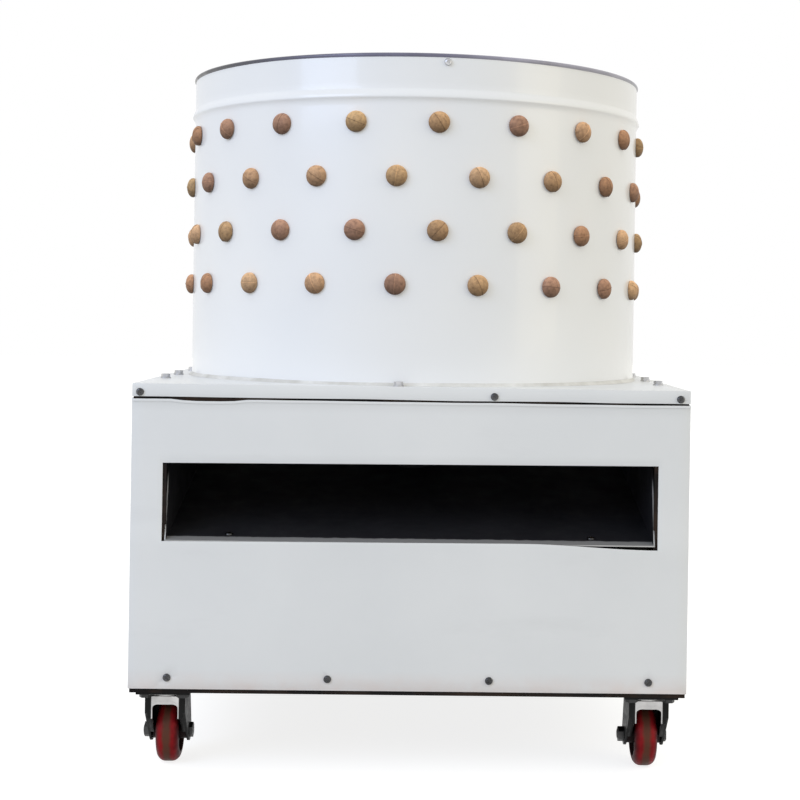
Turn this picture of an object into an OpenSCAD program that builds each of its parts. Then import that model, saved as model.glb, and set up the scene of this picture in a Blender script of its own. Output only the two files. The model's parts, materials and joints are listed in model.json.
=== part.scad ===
// Drum poultry plucker on casters: a finger-lined drum over a square base.
// Millimetres. Origin on the floor under the drum's axis, +Z up, front towards -Y.

/* [Base] */
// Outside width and depth of the square base
base_w = 660; // [640:5:720]
// Height from the base's underside to the top of its cover
base_h = 364.5; // [354.5:0.5:424.5]
// Thickness of the base's sheet metal
sheet_t = 1.5; // [1:0.5:2.5]
// Height of the cover's turned-down flange
flange_h = 14; // [12:1:20]
// Dark gap between the cover's flange and the panel below it
cover_gap = 3; // [2:1:6]
// Height of the folded hem along the top of each panel
hem_h = 3; // [2:1:6]
// How far the hem stands proud of its panel
hem_t = 0.8; // [0.5:0.1:1.5]
// Strip of the base frame left showing under each panel
panel_lift = 5; // [2:1:8]
// Width of the feather outlet in the front panel
slot_w = 586; // [520:2:590]
// Height of the feather outlet
slot_h = 95; // [70:5:110]
// Height of the outlet's sill above the base's underside
slot_z = 178.5; // [174.5:0.5:194.5]

/* [Frame] */
// Leg of the frame's main angle iron
angle_leg = 40; // [36:1:45]
// Thickness of the main angle iron
angle_t = 4; // [3:0.5:5]
// Leg of the angle iron under the cover
top_leg = 25; // [22:1:26]
// Thickness of the angle iron under the cover
top_t = 3; // [2:0.5:4]
// Side of each square gusset over a caster
gusset_w = 105; // [98:1:120]
// Depth of the diagonal braces that hold the drum
brace_h = 22; // [18:1:24]
// Thickness of the diagonal braces
brace_t = 4; // [3:0.5:6]

/* [Drum] */
// Outside diameter of the drum
drum_d = 606; // [590:1:606]
// Wall of the drum
drum_wall = 1.5; // [1:0.1:2]
// Height of the drum above the cover
drum_h = 397; // [390:0.5:460]
// Length of the drum below the top of the cover
drum_skirt = 28; // [26:1:32]
// Height of the swaged bead above the cover
bead_z = 350.5; // [346:0.5:365]
// Height of the bead
bead_h = 20; // [12:1:22]
// How far the bead stands out of the wall
bead_out = 3.5; // [2:0.5:5]
// Diameter of the wire in the rolled rim
rim_d = 3.5; // [3:0.5:6]
// Leg of the sealant fillet at the drum's foot
seal_leg = 4; // [3:0.5:4]
// Angle of the rim bolt from the front
rim_bolt_angle = 6.9; // [0:0.1:20]
// Distance of the rim bolt below the rim
rim_bolt_drop = 5.25; // [5:0.25:12]

/* [Fingers] */
// Rows of fingers in the drum
finger_rows = 4; // [3:1:4]
// Fingers in each row
row_count = 19; // [15:1:20]
// Height of the lowest row above the cover
row_first = 122; // [118:1:128]
// Distance between rows
row_pitch = 65; // [58:1:66]
// Angle of the top row's nearest finger from the front
row_angle = 5.1; // [0:0.1:18]
// Diameter of a finger's head
head_d = 26; // [24:0.5:30]
// Height of a finger's head
head_h = 10; // [7:0.5:12]
// Diameter of a finger's neck
neck_d = 20; // [16:0.5:22]
// Length of a finger inside the wall
finger_len = 82; // [70:1:84]
// Diameter of a finger at its tip
tip_d = 13; // [9:0.5:15]
// Ribs on each finger
finger_ribs = 6; // [3:1:8]
// Height of each rib
rib_h = 1; // [0.5:0.1:1.5]

/* [Turntable] */
// Diameter of the turntable
disc_d = 560; // [540:2:566]
// Thickness of the turntable
disc_t = 4; // [3:0.5:6]
// Height of the turntable's underside above the cover
disc_lift = 16; // [14:1:18]
// Diameter of the hub's flange
hub_flange_d = 140; // [130:2:150]
// Thickness of the hub's flange
hub_flange_t = 10; // [8:1:14]
// Diameter of the hub's boss
hub_d = 60; // [50:2:66]
// Length of the hub's boss below its flange
hub_len = 45; // [36:1:50]

/* [Chute] */
// Slope of the chute's floor
chute_slope = 12; // [10:0.5:13]
// Outside width of the chute
chute_w = 580; // [540:2:582]
// Thickness of the chute's sheet
chute_t = 1.5; // [1:0.5:2]
// Lean of each cheek's front edge from upright
cheek_lean = 15; // [10:1:15]
// Width of the flange along the top of each cheek
cheek_flange = 30; // [20:1:32]
// Outside diameter of the collar round the shaft
collar_d = 90; // [80:2:100]
// Wall of the collar
collar_wall = 2; // [1.5:0.5:3]
// Width of the bars under the chute
support_w = 25; // [20:1:28]
// Thickness of the bars under the chute
support_t = 4; // [3:0.5:6]
// Distance of the chute's front screws from the middle
chute_screw_x = 216; // [180:1:240]

/* [Spindle] */
// Diameter of the spindle
shaft_d = 30; // [28:1:32]
// Diameter of the threaded end on the spindle
thread_d = 20; // [16:1:24]
// Outside diameter of a spindle bearing
bearing_d = 62; // [60:1:66]
// Width of a spindle bearing
bearing_w = 16; // [15:1:20]
// Diameter of a bearing ball
ball_d = 9.4; // [8:0.1:10]
// Balls in each bearing
ball_count = 9; // [7:1:9]
// Width of a shaft seal
seal_w = 5; // [4:0.5:6]
// Outside diameter of the spindle housing
housing_d = 80; // [76:1:90]
// Length of the spindle housing
housing_len = 140; // [110:2:146]
// Thickness of the spindle housing's flange
housing_flange_t = 10; // [8:1:12]
// Side of the square tubes that carry the spindle housing
beam_w = 40; // [36:1:44]
// Wall of those square tubes
beam_wall = 3; // [2:0.5:4]
// Height of the tubes' tops above the base's underside
beam_z = 210.5; // [204.5:0.5:212.5]

/* [Drive] */
// Outside diameter of the large pulley
pulley_d = 280; // [260:2:290]
// Outside diameter of the motor's pulley
motor_pulley_d = 76; // [70:2:84]
// Width of both pulleys
pulley_w = 22; // [20:1:24]
// Height of the pulleys above the base's underside
pulley_z = 12.5; // [10.5:0.5:14.5]
// Width of the belt at its back
belt_w = 12.5; // [11:0.5:13]
// Thickness of the belt
belt_h = 8; // [7:0.5:9]
// Half the angle of the belt's sides
belt_angle = 19; // [17:0.5:20]
// Distance of the motor behind the drum's axis
motor_y = 225; // [222:1:228]
// Diameter of the motor's flange
motor_flange_d = 160; // [154:2:164]
// Thickness of the motor's flange
motor_flange_t = 10; // [8:1:12]
// Diameter over the motor's fins
motor_d = 150; // [146:1:152]
// Height of each fin
fin_h = 5; // [3:0.5:6]
// Fins round the motor
fin_count = 30; // [20:2:36]
// Length of the motor's housing over its flange
motor_len = 146; // [136:2:150]
// Length of the motor's fan cover
fan_cover_len = 44; // [38:1:46]
// Diameter of the motor's shaft
motor_shaft_d = 24; // [19:1:28]
// Thickness of the motor's plate
motor_plate_t = 6; // [5:0.5:8]
// Width of the flat bars under the motor's plate
motor_bar_w = 40; // [36:1:42]
// Thickness of those flat bars
motor_bar_t = 8; // [6:1:10]

/* [Switch] */
// Width of the switch's housing
switch_w = 84; // [76:1:100]
// Height of the switch's housing
switch_h = 130; // [110:1:150]
// Depth of the switch's housing
switch_depth = 52; // [45:1:60]
// Wall of the switch's housing
switch_wall = 3; // [2:0.5:4]
// Distance of the switch to the right of the middle
switch_x = 150; // [100:5:200]
// Height of the switch's middle above the base's underside
switch_z = 234.5; // [204.5:0.5:254.5]
// Diameter of each push button
button_d = 24; // [20:1:28]
// How far each button stands out when pressed
button_rest = 5; // [4:1:7]
// Travel of each button
button_travel = 4; // [3:0.5:5]
// Distance between the two buttons
button_pitch = 50; // [42:1:56]
// Bore of the cable gland
gland_bore = 9; // [6:0.5:11]
// Diameter of the cable gland's nut
gland_d = 20; // [17:0.5:24]

/* [Casters] */
// Height of a caster from the floor to its plate
caster_h = 99.5; // [98:0.5:108]
// Diameter of a caster's wheel
wheel_d = 75; // [72:1:77]
// Width of a wheel's tread
wheel_w = 32; // [28:1:34]
// Radius of the tread's shoulders
wheel_round = 10; // [6:0.5:12]
// Distance of a wheel's axle behind its swivel
trail = 25; // [20:1:28]
// Distance of the swivels from the middle, left and right
caster_x = 290; // [280:1:291]
// Distance of the swivels from the middle, front and back
caster_y = 280; // [274:1:281]
// Width of a caster's plate
plate_w = 64; // [60:1:68]
// Length of a caster's plate
plate_len = 84; // [80:1:88]
// Thickness of a caster's plate
plate_t = 4; // [3:0.5:5]
// Diameter of the swivel's upper race
race_d = 50; // [44:1:52]
// Height of the swivel's upper race
race_h = 4; // [3:0.5:8]
// Diameter of the swivel's king pin
king_d = 12; // [10:0.5:14]
// Inside width of a fork
fork_w = 42; // [40:0.5:44]
// Thickness of a fork's legs
fork_t = 3; // [2.5:0.5:3.5]
// Diameter of a wheel's axle
axle_d = 10; // [8:0.5:12]

/* [Fasteners] */
// Thread of the frame's bolts
bolt_d = 8; // [6:1:8]
// Thread of the cover's bolts and of the rim bolt
cover_bolt_d = 6; // [5:0.5:7]
// Thread of the sheet screws
screw_d = 4; // [3:0.5:5]
// Diameter of a sheet screw's head
screw_head_d = 9; // [8:0.5:10]
// Height of a sheet screw's head
screw_head_h = 3; // [2:0.5:4]

/* [Clearances] */
// Gap between parts that move past or seat on each other
clear = 0.3; // [0.2:0.05:0.4]
// Radial gap of a running fit
run = 0.08; // [0.05:0.01:0.1]
// Radial gap of a fixed fit
fit = 0.03; // [0.02:0.01:0.05]
// Extra diameter of a bolt's hole
hole_play = 0.5; // [0.3:0.1:0.8]

/* [Hidden] */
$fn = 64;

// Overlap of a cutting tool past the face that it cuts
cut = 1;
// Length of the tools that cut bolt holes and screw holes
bolt_reach = 40;
screw_reach = 20;

// Heights of the base, from the floor
frame_z = caster_h;
cover_z = frame_z + base_h;
cover_under = cover_z - sheet_t;
panel_bottom = frame_z + panel_lift;
panel_top = cover_z - flange_h - cover_gap;
sill_z = frame_z + slot_z;

// Half widths of the base
half = base_w / 2;
in_face = half - sheet_t;
post_edge = in_face - angle_leg;
post_in = in_face - angle_t;

// Drum
drum_r = drum_d / 2;
drum_in = drum_r - drum_wall;
drum_top = cover_z + drum_h;
drum_bottom = cover_z - drum_skirt;
bead_r = (bead_h * bead_h / 4 + bead_out * bead_out) / (2 * bead_out);
bead_mid = cover_z + bead_z;
rim_mid_r = drum_in + rim_d / 2;
rim_mid_z = drum_top - 0.5;
rim_bolt_z = rim_mid_z - rim_d / 2 - rim_bolt_drop;
rim_bolt_seat = 0.1;

// Fingers
lower_rows = 2;
hole_d = neck_d + 2 * clear;
shoulder_d = head_d - 2;
shoulder_h = 4;
lip_h = 4.5;
root_d = neck_d;
tip_round = 3;
rib_len = 3;

// Turntable
disc_z = cover_z + disc_lift;
disc_top = disc_z + disc_t;
finger_rings = [[238, 20], [170, 14], [104, 8]];
hub_bolts = 6;
hub_bolt_r = hub_flange_d / 2 - 18;
washer_t = 3;

// Chute, in a frame tilted about its front lip
lip_y = -half + 0.5;
lip_z = sill_z + 0.5;
chute_back = in_face - angle_t - 6;
chute_len = (chute_back - lip_y) / cos(chute_slope);
back_floor_z = lip_z + (chute_back - lip_y) * tan(chute_slope);
cheek_top = drum_bottom - 6;
collar_top = cover_z - 24;
collar_drop = 12;
axis_floor_z = lip_z - lip_y * tan(chute_slope);
support_inset = 8;

// Spindle
beam_top = frame_z + beam_z;
beam_bottom = beam_top - beam_w;
housing_top = beam_top + housing_flange_t;
housing_bottom = housing_top - housing_len;
beam_y = housing_d / 2 + 2 + beam_w / 2;
housing_bolt_x = 50;
housing_flange_w = 2 * housing_bolt_x + 50;
housing_flange_len = 2 * beam_y + beam_w;
ball_r = (bearing_d + shaft_d) / 4;
land = ball_d * 0.37;
groove_d = ball_d + 2 * run;
bearing_z = [housing_bottom + seal_w, housing_top - seal_w - bearing_w];

// Drive
pulley_bottom = frame_z + pulley_z;
belt_z = pulley_bottom + pulley_w / 2;
groove_h = belt_h + 4;
pulley_hub_d = 60;
pulley_hub_h = 32;
pulley_rim = 26;
pulley_web = 8;
web_hole_d = 46;
web_holes = 6;
web_bottom = pulley_bottom + (pulley_w - pulley_web) / 2;
belt_lean = asin((pulley_d - motor_pulley_d) / 2 / motor_y);
belt_run = motor_y * cos(belt_lean);
belt_lap = 1.5;
belt_step = 0.05;
bar_z = frame_z + angle_leg;
motor_plate_z = bar_z + motor_bar_t;
motor_z = motor_plate_z + motor_plate_t;
motor_body_top = motor_z + motor_flange_t + motor_len;
motor_r = motor_d / 2 - fin_h;
motor_wall = 6;
fin_t = 2;
fin_len = motor_len - 8;
motor_in = motor_r - motor_wall;
motor_bolt_xy = 46;
motor_plate_w = 200;
motor_plate_front = 115;
motor_plate_rear = 88;
rear_bar_off = 55;
motor_plate_y = [motor_y - motor_plate_front, motor_y + motor_plate_rear];
front_bar_y = motor_plate_y[0];
rear_bar_y = motor_y + rear_bar_off;
motor_thread = motor_flange_t - 2;
thread_end = 1;
bar_bolt_x = 80;
shaft_hole_d = 60;
stator_in = 38.5;
rotor_d = 76;
motor_bearing_d = 47;
motor_bearing_w = 15;
end_lip = 3;
shield_t = motor_bearing_w + end_lip;
winding_h = 20;
core_z = motor_z + shield_t + winding_h;
core_len = motor_body_top - shield_t - winding_h - core_z;
fan_cover_wall = 1.5;
air_rings = [[20, 8], [34, 14], [48, 20]];
air_hole_d = 8;
fan_blades = 7;
fan_d = 112;
fan_h = 22;
fan_gap = 6;
fan_hub_d = motor_shaft_d + 14;
blade_t = 2;
box_out = 36;
box_w = 76;
box_h = 84;
box_z = motor_z + 40;
box_wall = 3;
box_back = 8;
box_half_angle = asin((box_w / 2 + box_wall) / motor_r);

// Switch
switch_y = half + switch_depth;
switch_mid = frame_z + switch_z;
button_flange = 3;
button_out = button_rest + button_travel;
button_edge = 1.5;
gland_hex = gland_d + 4;
gland_hex_h = 6;
gland_nut_h = 14;
gland_taper = [3, 5];
gland_stub_h = switch_wall + 4;
gland_stub_d = gland_bore + 6;
cable_hole_d = 16;

// Casters
plate_bottom = caster_h - plate_t;
race_bottom = plate_bottom - race_h;
crown_top = race_bottom - clear;
crown_h = 7;
crown_bottom = crown_top - crown_h;
king_head_d = 20;
king_head_h = 4;
web_t = 3;
web_drop = 2;
web_top = crown_top - web_drop;
crown_d = 44;
wheel_r = wheel_d / 2;
leg_end = 13;
leg_front = 23;
leg_back = 24;
leg_knee = 20;
apron_drop = 27;
arch_drop = 7;
arch_w = wheel_w - 2;
arch_round = 8;
arch_top = web_top - arch_drop;
hub_half = fork_w / 2 - clear;
wheel_hub_d = 24;
wheel_groove = [14, 25];
groove_depth = 5;
axle_head_af = 16;
axle_head_h = 4;
axle_nut_h = 7;
caster_bolt_x = plate_w / 2 - 10;
caster_bolt_y = plate_len / 2 - 12;

// Fasteners
bolt_af = 1.625 * bolt_d;
bolt_head_h = 0.65 * bolt_d;
nut_h = 0.8 * bolt_d;
cover_bolt_af = 10 / 6 * cover_bolt_d;
cover_head_h = 4.5;
cover_nut_h = 5;
cover_washer_d = 13;
cover_washer_t = 1.2;
cover_bolt_x = half - 16;
cover_bolt_y = [-180, -67, 67, 180];
front_bolt_x = -17;
bottom_screw_x = [-0.862 * half, -0.289 * half, 0.289 * half, 0.862 * half];
flange_screw_x = [-0.972 * half, 0.294 * half, 0.964 * half];
side_flange_screw_x = [-0.606 * half, 0, 0.606 * half];
bottom_screw_z = frame_z + 18.5;
flange_screw_z = cover_z - 10;
screw_len = 7.5;
recess_w = 1.1;
recess_d = 1.4;

// Point where a line from p touches the circle of radius r round c
function tangent_point(p, c, r, side) =
  let (d = norm(p - c), a = atan2(p[1] - c[1], p[0] - c[0]), b = acos(r / d))
  c + r * [cos(a + side * b), sin(a + side * b)];

// Half width of the belt's groove, a depth below the pulley's rim
function groove_half(depth) = belt_w / 2 + clear - depth * tan(belt_angle);

// Height of a row of fingers and the angle of its first finger
function row_z(i) = cover_z + row_first + i * row_pitch;
function row_start(i) = (finger_rows - i) % 2 == 1 ? row_angle : row_angle - 180 / row_count;

// Copies on a circle, each turned with its place
module around(count, start = 0) {
  for (i = [0:count - 1]) rotate([0, 0, start + i * 360 / count]) children();
}

// The four corners of the square base
module corners() {
  for (i = [0:3]) rotate([0, 0, 90 * i]) children();
}

// Angle iron along X, its outer corner at the origin
module angle_x(len, leg, t) {
  rotate([90, 0, 90])
    linear_extrude(height = len, center = true)
      polygon([[0, 0], [leg, 0], [leg, t], [t, t], [t, leg], [0, leg]]);
}

// Round tube standing on the XY plane
module tube(outer, inner, h) {
  difference() {
    cylinder(d = outer, h = h);
    translate([0, 0, -cut]) cylinder(d = inner, h = h + 2 * cut);
  }
}

// Hexagonal prism across its flats
module hex(af, h) {
  cylinder(d = af / cos(30), h = h, $fn = 6);
}

// Hexagon bolt hanging from the XY plane, its nut a grip below
module bolt_and_nut(d, af, head, nut, grip, washer_d = 0, washer_h = 0) {
  translate([0, 0, washer_h]) hex(af, head);
  if (washer_h > 0) cylinder(d = washer_d, h = washer_h);
  translate([0, 0, -grip - nut - 1]) cylinder(d = d, h = grip + nut + 1);
  translate([0, 0, -grip - nut]) difference() {
    hex(af, nut);
    translate([0, 0, -cut]) cylinder(d = d + 2 * fit, h = nut + 2 * cut);
  }
}

// Pan-head screw with a cross recess, its head on the XY plane
module sheet_screw() {
  edge = screw_head_h * 0.45;
  difference() {
    rotate_extrude()
      polygon([
        [0, -screw_len], [screw_d / 2, -screw_len], [screw_d / 2, 0], [screw_head_d / 2, 0],
        [screw_head_d / 2, edge], [screw_head_d * 0.44, screw_head_h * 0.75],
        [screw_head_d * 0.3, screw_head_h * 0.95], [0, screw_head_h],
      ]);
    for (a = [45, 135]) rotate([0, 0, a])
      translate([-screw_head_d * 0.3, -recess_w / 2, screw_head_h - recess_d])
        cube([screw_head_d * 0.6, recess_w, recess_d + cut]);
  }
}

// Places of the sheet screws on the base's four sides, +Z out of the sheet
module side_places(xs, z) {
  for (x = xs) translate([x, -half, z]) rotate([90, 0, 0]) children();
}

module bottom_screw_places() {
  corners() side_places(bottom_screw_x, bottom_screw_z) children();
}

module flange_screw_places() {
  for (a = [0, 180]) rotate([0, 0, a]) side_places(flange_screw_x, flange_screw_z) children();
  for (a = [90, 270]) rotate([0, 0, a]) side_places(side_flange_screw_x, flange_screw_z) children();
}

// Clear holes for the sheet screws
module screw_holes() {
  bottom_screw_places() screw_hole();
  flange_screw_places() screw_hole();
}

module screw_hole() {
  translate([0, 0, -screw_len - cut]) cylinder(d = screw_d + hole_play, h = screw_len + 2 * cut);
}

// Places of the bolts that hold the cover to the frame
module cover_bolt_places() {
  for (s = [-1, 1], y = cover_bolt_y) translate([s * cover_bolt_x, y, cover_z]) children();
  for (s = [-1, 1]) translate([s * front_bolt_x, -s * cover_bolt_x, cover_z]) children();
}

module cover_bolt_holes() {
  cover_bolt_places() translate([0, 0, -base_h / 4])
    cylinder(d = cover_bolt_d + hole_play, h = base_h / 4 + cut);
}

// Places of the bolts through the caster plates
module caster_bolt_places() {
  for (sx = [-1, 1], sy = [-1, 1], i = [-1, 1], j = [-1, 1])
    translate([sx * caster_x + i * caster_bolt_x, sy * caster_y + j * caster_bolt_y, 0]) children();
}

module caster_bolt_holes(from, to) {
  caster_bolt_places() translate([0, 0, from - cut])
    cylinder(d = bolt_d + hole_play, h = to - from + 2 * cut);
}

// Frame tilted with the chute's floor, its origin at the front lip
module on_chute() {
  translate([0, lip_y, lip_z]) rotate([chute_slope, 0, 0]) children();
}

module chute_screw_places() {
  on_chute() for (s = [-1, 1])
    translate([s * chute_screw_x, support_inset + support_w / 2, chute_t]) children();
}

module chute_screw_hole() {
  translate([0, 0, -screw_reach]) cylinder(d = screw_d + hole_play, h = screw_reach + cut);
}

// Rubber finger along Z, its head above the XY plane and its ribbed body below
module finger(grip) {
  head_r = head_d / 2;
  dome_h = head_h - lip_h;
  dome_r = (head_r * head_r + dome_h * dome_h) / (2 * dome_h);
  dome_end = asin(head_r / dome_r);
  body_top = -grip - shoulder_h;
  body_end = -grip - finger_len;
  pitch = (body_top - body_end - tip_round - rib_len) / finger_ribs;
  function body_r(z) = (root_d + (tip_d - root_d) * (body_top - z) / (body_top - body_end)) / 2;
  function rib(i) = let (z = body_top - 2 - i * pitch) [
    [body_r(z), z], [body_r(z) + rib_h, z - 1],
    [body_r(z) + rib_h, z - rib_len + 1], [body_r(z - rib_len), z - rib_len],
  ];
  dome = [for (k = [0:5]) let (a = dome_end * k / 5)
    [dome_r * sin(a), head_h - dome_r + dome_r * cos(a)]];
  body = [for (i = [0:finger_ribs - 1]) each rib(i)];
  rotate_extrude()
    polygon(concat(
      dome,
      [[head_r, 0], [neck_d / 2, 0], [neck_d / 2, -grip], [shoulder_d / 2, -grip],
        [shoulder_d / 2, body_top + 1], [root_d / 2, body_top]],
      body,
      [[body_r(body_end), body_end + tip_round], [body_r(body_end) * 0.6, body_end], [0, body_end]]
    ));
}

// Drum wall: a rolled sheet with a swaged bead and a hole for each finger
module drum() {
  bead_c = drum_r + bead_out - bead_r;
  color("white") difference() {
    rotate_extrude() difference() {
      union() {
        translate([drum_in, drum_bottom]) square([drum_wall, drum_top - drum_bottom]);
        intersection() {
          translate([bead_c, bead_mid]) circle(r = bead_r);
          translate([drum_in, bead_mid - bead_h]) square([bead_out + drum_wall + cut, 2 * bead_h]);
        }
      }
      translate([bead_c, bead_mid]) circle(r = bead_r - drum_wall);
    }
    drum_finger_places() translate([0, 0, -drum_wall - 3 * cut])
      cylinder(d = hole_d, h = drum_wall + 6 * cut);
    rim_bolt_place() translate([0, 0, -drum_wall - 3 * cut])
      cylinder(d = cover_bolt_d + hole_play, h = drum_wall + 6 * cut);
    brace_bolt_places() translate([0, 0, bolt_reach / 2]) bolt_hole();
  }
}

// Places on the drum's outside, +Z pointing out
module drum_finger_places(rows = [0:finger_rows - 1]) {
  for (i = rows) around(row_count, row_start(i))
    translate([0, -drum_r, row_z(i)]) rotate([90, 0, 0]) children();
}

module rim_bolt_place() {
  rotate([0, 0, rim_bolt_angle]) translate([0, -drum_r, rim_bolt_z]) rotate([90, 0, 0]) children();
}

// Places on the drum's inside at its four braces, +Z pointing out
module brace_bolt_places() {
  corners() rotate([0, 0, 45]) translate([0, -drum_in, cover_under - top_t - brace_h / 2])
    rotate([90, 0, 0]) children();
}

// Rolled rim round a wire, seated on the wall's edge
module rim_ring() {
  color("midnightblue") rotate_extrude() difference() {
    translate([rim_mid_r, rim_mid_z]) circle(d = rim_d);
    translate([drum_in - rim_d, drum_top - 2 * rim_d]) square([rim_d + drum_wall, 2 * rim_d]);
  }
}

// Round-headed bolt through the wall, with a nut inside
module rim_bolt() {
  head_r = screw_head_d / 2;
  grip = drum_wall + 3 * rim_bolt_seat;
  end = grip + cover_nut_h + 2;
  color("silver") rim_bolt_place() translate([0, 0, rim_bolt_seat]) {
    difference() {
      rotate_extrude()
        polygon([[0, 0], [head_r, 0], [head_r, 0.4 * cover_head_h], [0.8 * head_r, 0.8 * cover_head_h],
          [0.4 * head_r, 0.97 * cover_head_h], [0, cover_head_h]]);
      for (a = [20, 110]) rotate([0, 0, a])
        translate([-0.6 * head_r, -recess_w / 2, cover_head_h - recess_d])
          cube([1.2 * head_r, recess_w, recess_d + cut]);
    }
    translate([0, 0, -end]) cylinder(d = cover_bolt_d, h = end);
    translate([0, 0, -grip - cover_nut_h]) difference() {
      hex(cover_bolt_af, cover_nut_h);
      translate([0, 0, -cut]) cylinder(d = cover_bolt_d + 2 * fit, h = cover_nut_h + 2 * cut);
    }
  }
}

// Sealant fillet between the drum and the cover
module drum_seal() {
  color("whitesmoke") rotate_extrude()
    polygon([[drum_r + fit, cover_z], [drum_r + seal_leg, cover_z], [drum_r + fit, cover_z + seal_leg]]);
}

module drum_fingers(rows) {
  color("sienna") drum_finger_places(rows)
    translate([0, 0, clear / 2]) finger(drum_wall + 2 * clear);
}

// Cover of the base: a sheet with a round hole and a turned-down flange
module top_cover() {
  color("gainsboro") difference() {
    translate([-half, -half, cover_z - flange_h]) cube([base_w, base_w, flange_h]);
    translate([-in_face, -in_face, cover_z - flange_h - cut])
      cube([2 * in_face, 2 * in_face, flange_h - sheet_t + cut]);
    translate([0, 0, cover_z - flange_h]) cylinder(r = drum_r + clear, h = flange_h + cut);
    cover_bolt_holes();
    screw_holes();
  }
}

// Flat panel with a folded hem, on the front of the base
module panel(width) {
  translate([-width / 2, -half, panel_bottom]) cube([width, sheet_t, panel_top - panel_bottom]);
  translate([-width / 2, -half - hem_t, panel_top - hem_h]) cube([width, hem_t, hem_h]);
}

module front_panel() {
  color("white") difference() {
    panel(base_w);
    translate([-slot_w / 2, -half - cut, sill_z]) cube([slot_w, sheet_t + 2 * cut, slot_h]);
    screw_holes();
  }
}

module rear_panel() {
  color("white") difference() {
    rotate([0, 0, 180]) panel(base_w);
    screw_holes();
    translate([switch_x, in_face - cut, switch_mid]) rotate([-90, 0, 0])
      cylinder(d = cable_hole_d, h = sheet_t + 2 * cut);
  }
}

module left_panel() {
  color("white") difference() {
    rotate([0, 0, -90]) panel(2 * in_face);
    screw_holes();
  }
}

module right_panel() {
  color("white") difference() {
    rotate([0, 0, 90]) panel(2 * in_face);
    screw_holes();
  }
}

module sheet_screws() {
  color("silver") {
    bottom_screw_places() sheet_screw();
    flange_screw_places() sheet_screw();
    chute_screw_places() sheet_screw();
  }
}

module cover_bolts() {
  color("silver") cover_bolt_places()
    bolt_and_nut(cover_bolt_d, cover_bolt_af, cover_head_h, cover_nut_h, sheet_t + top_t,
      cover_washer_d, cover_washer_t);
}

// Angle-iron post in each corner, with a welded gusset over the caster and a notch beside the chute's lip
module corner_posts() {
  notch_h = (-post_in - lip_y) / tan(cheek_lean) + 2 * clear;
  color("dimgray") difference() {
    corners() {
      translate([-in_face, -in_face, frame_z])
        linear_extrude(height = cover_under - frame_z)
          polygon([[0, 0], [angle_leg, 0], [angle_leg, angle_t], [angle_t, angle_t],
            [angle_t, angle_leg], [0, angle_leg]]);
      translate([-post_in, -post_in, frame_z + angle_t]) cube([gusset_w, gusset_w, angle_t]);
    }
    screw_holes();
    caster_bolt_holes(frame_z + angle_t, frame_z + 2 * angle_t);
    translate([-chute_w / 2 - clear, -half, lip_z - clear])
      cube([chute_w + 2 * clear, half - post_in + clear, notch_h + clear]);
  }
}

// Bottom rails between the posts
module bottom_rails() {
  color("dimgray") difference() {
    corners() translate([0, -in_face, frame_z]) angle_x(2 * post_edge, angle_leg, angle_t);
    screw_holes();
    caster_bolt_holes(frame_z, frame_z + angle_t);
  }
}

// Lighter rails under the cover, and a rail on each side under the bearing beams
module upper_rails() {
  color("dimgray") difference() {
    union() {
      corners() translate([0, -in_face, cover_under]) mirror([0, 0, 1])
        angle_x(2 * post_edge, top_leg, top_t);
      for (a = [90, 270]) rotate([0, 0, a]) translate([0, -in_face, beam_bottom]) mirror([0, 0, 1])
        angle_x(2 * post_edge, angle_leg, angle_t);
    }
    screw_holes();
    cover_bolt_holes();
  }
}

// Square tubes that carry the spindle housing
module bearing_beams() {
  color("dimgray") for (s = [-1, 1]) difference() {
    translate([-in_face, s * beam_y - beam_w / 2, beam_bottom]) cube([2 * in_face, beam_w, beam_w]);
    translate([-half, s * beam_y - beam_w / 2 + beam_wall, beam_bottom + beam_wall])
      cube([base_w, beam_w - 2 * beam_wall, beam_w - 2 * beam_wall]);
    housing_bolt_places() translate([0, 0, -beam_w - cut])
      cylinder(d = bolt_d + hole_play, h = beam_w + 2 * cut);
  }
}

// Bolts through the spindle housing's flange, at the top of the beams
module housing_bolt_places() {
  for (i = [-1, 1], j = [-1, 1]) translate([i * housing_bolt_x, j * beam_y, beam_top]) children();
}

// Flat bars under the motor's plate
module motor_bars() {
  color("dimgray") difference() {
    union() {
      translate([-in_face, front_bar_y, bar_z]) cube([2 * in_face, motor_bar_w, motor_bar_t]);
      translate([-post_in, rear_bar_y, bar_z]) cube([2 * post_in, motor_bar_w, motor_bar_t]);
    }
    bar_bolt_places() bolt_hole();
  }
}

module bar_bolt_places() {
  for (s = [-1, 1], y = [front_bar_y, rear_bar_y])
    translate([s * bar_bolt_x, y + motor_bar_w / 2, motor_z]) children();
}

module motor_bolt_places() {
  for (i = [-1, 1], j = [-1, 1])
    translate([i * motor_bolt_xy, motor_y + j * motor_bolt_xy, motor_z]) children();
}

// Clear hole for a frame bolt, down from the XY plane
module bolt_hole() {
  translate([0, 0, -bolt_reach]) cylinder(d = bolt_d + hole_play, h = bolt_reach + cut);
}

// Diagonal braces across the base's corners, touching the drum's skirt
module drum_braces() {
  brace_far = drum_r + clear + brace_t;
  reach = (in_face - top_t) * sqrt(2) - brace_far;
  color("dimgray") difference() {
    corners() rotate([0, 0, 45]) translate([-reach, -brace_far, cover_under - top_t - brace_h])
      cube([2 * reach, brace_t, brace_h]);
    brace_bolt_places() translate([0, 0, bolt_reach / 2]) bolt_hole();
  }
}

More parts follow.
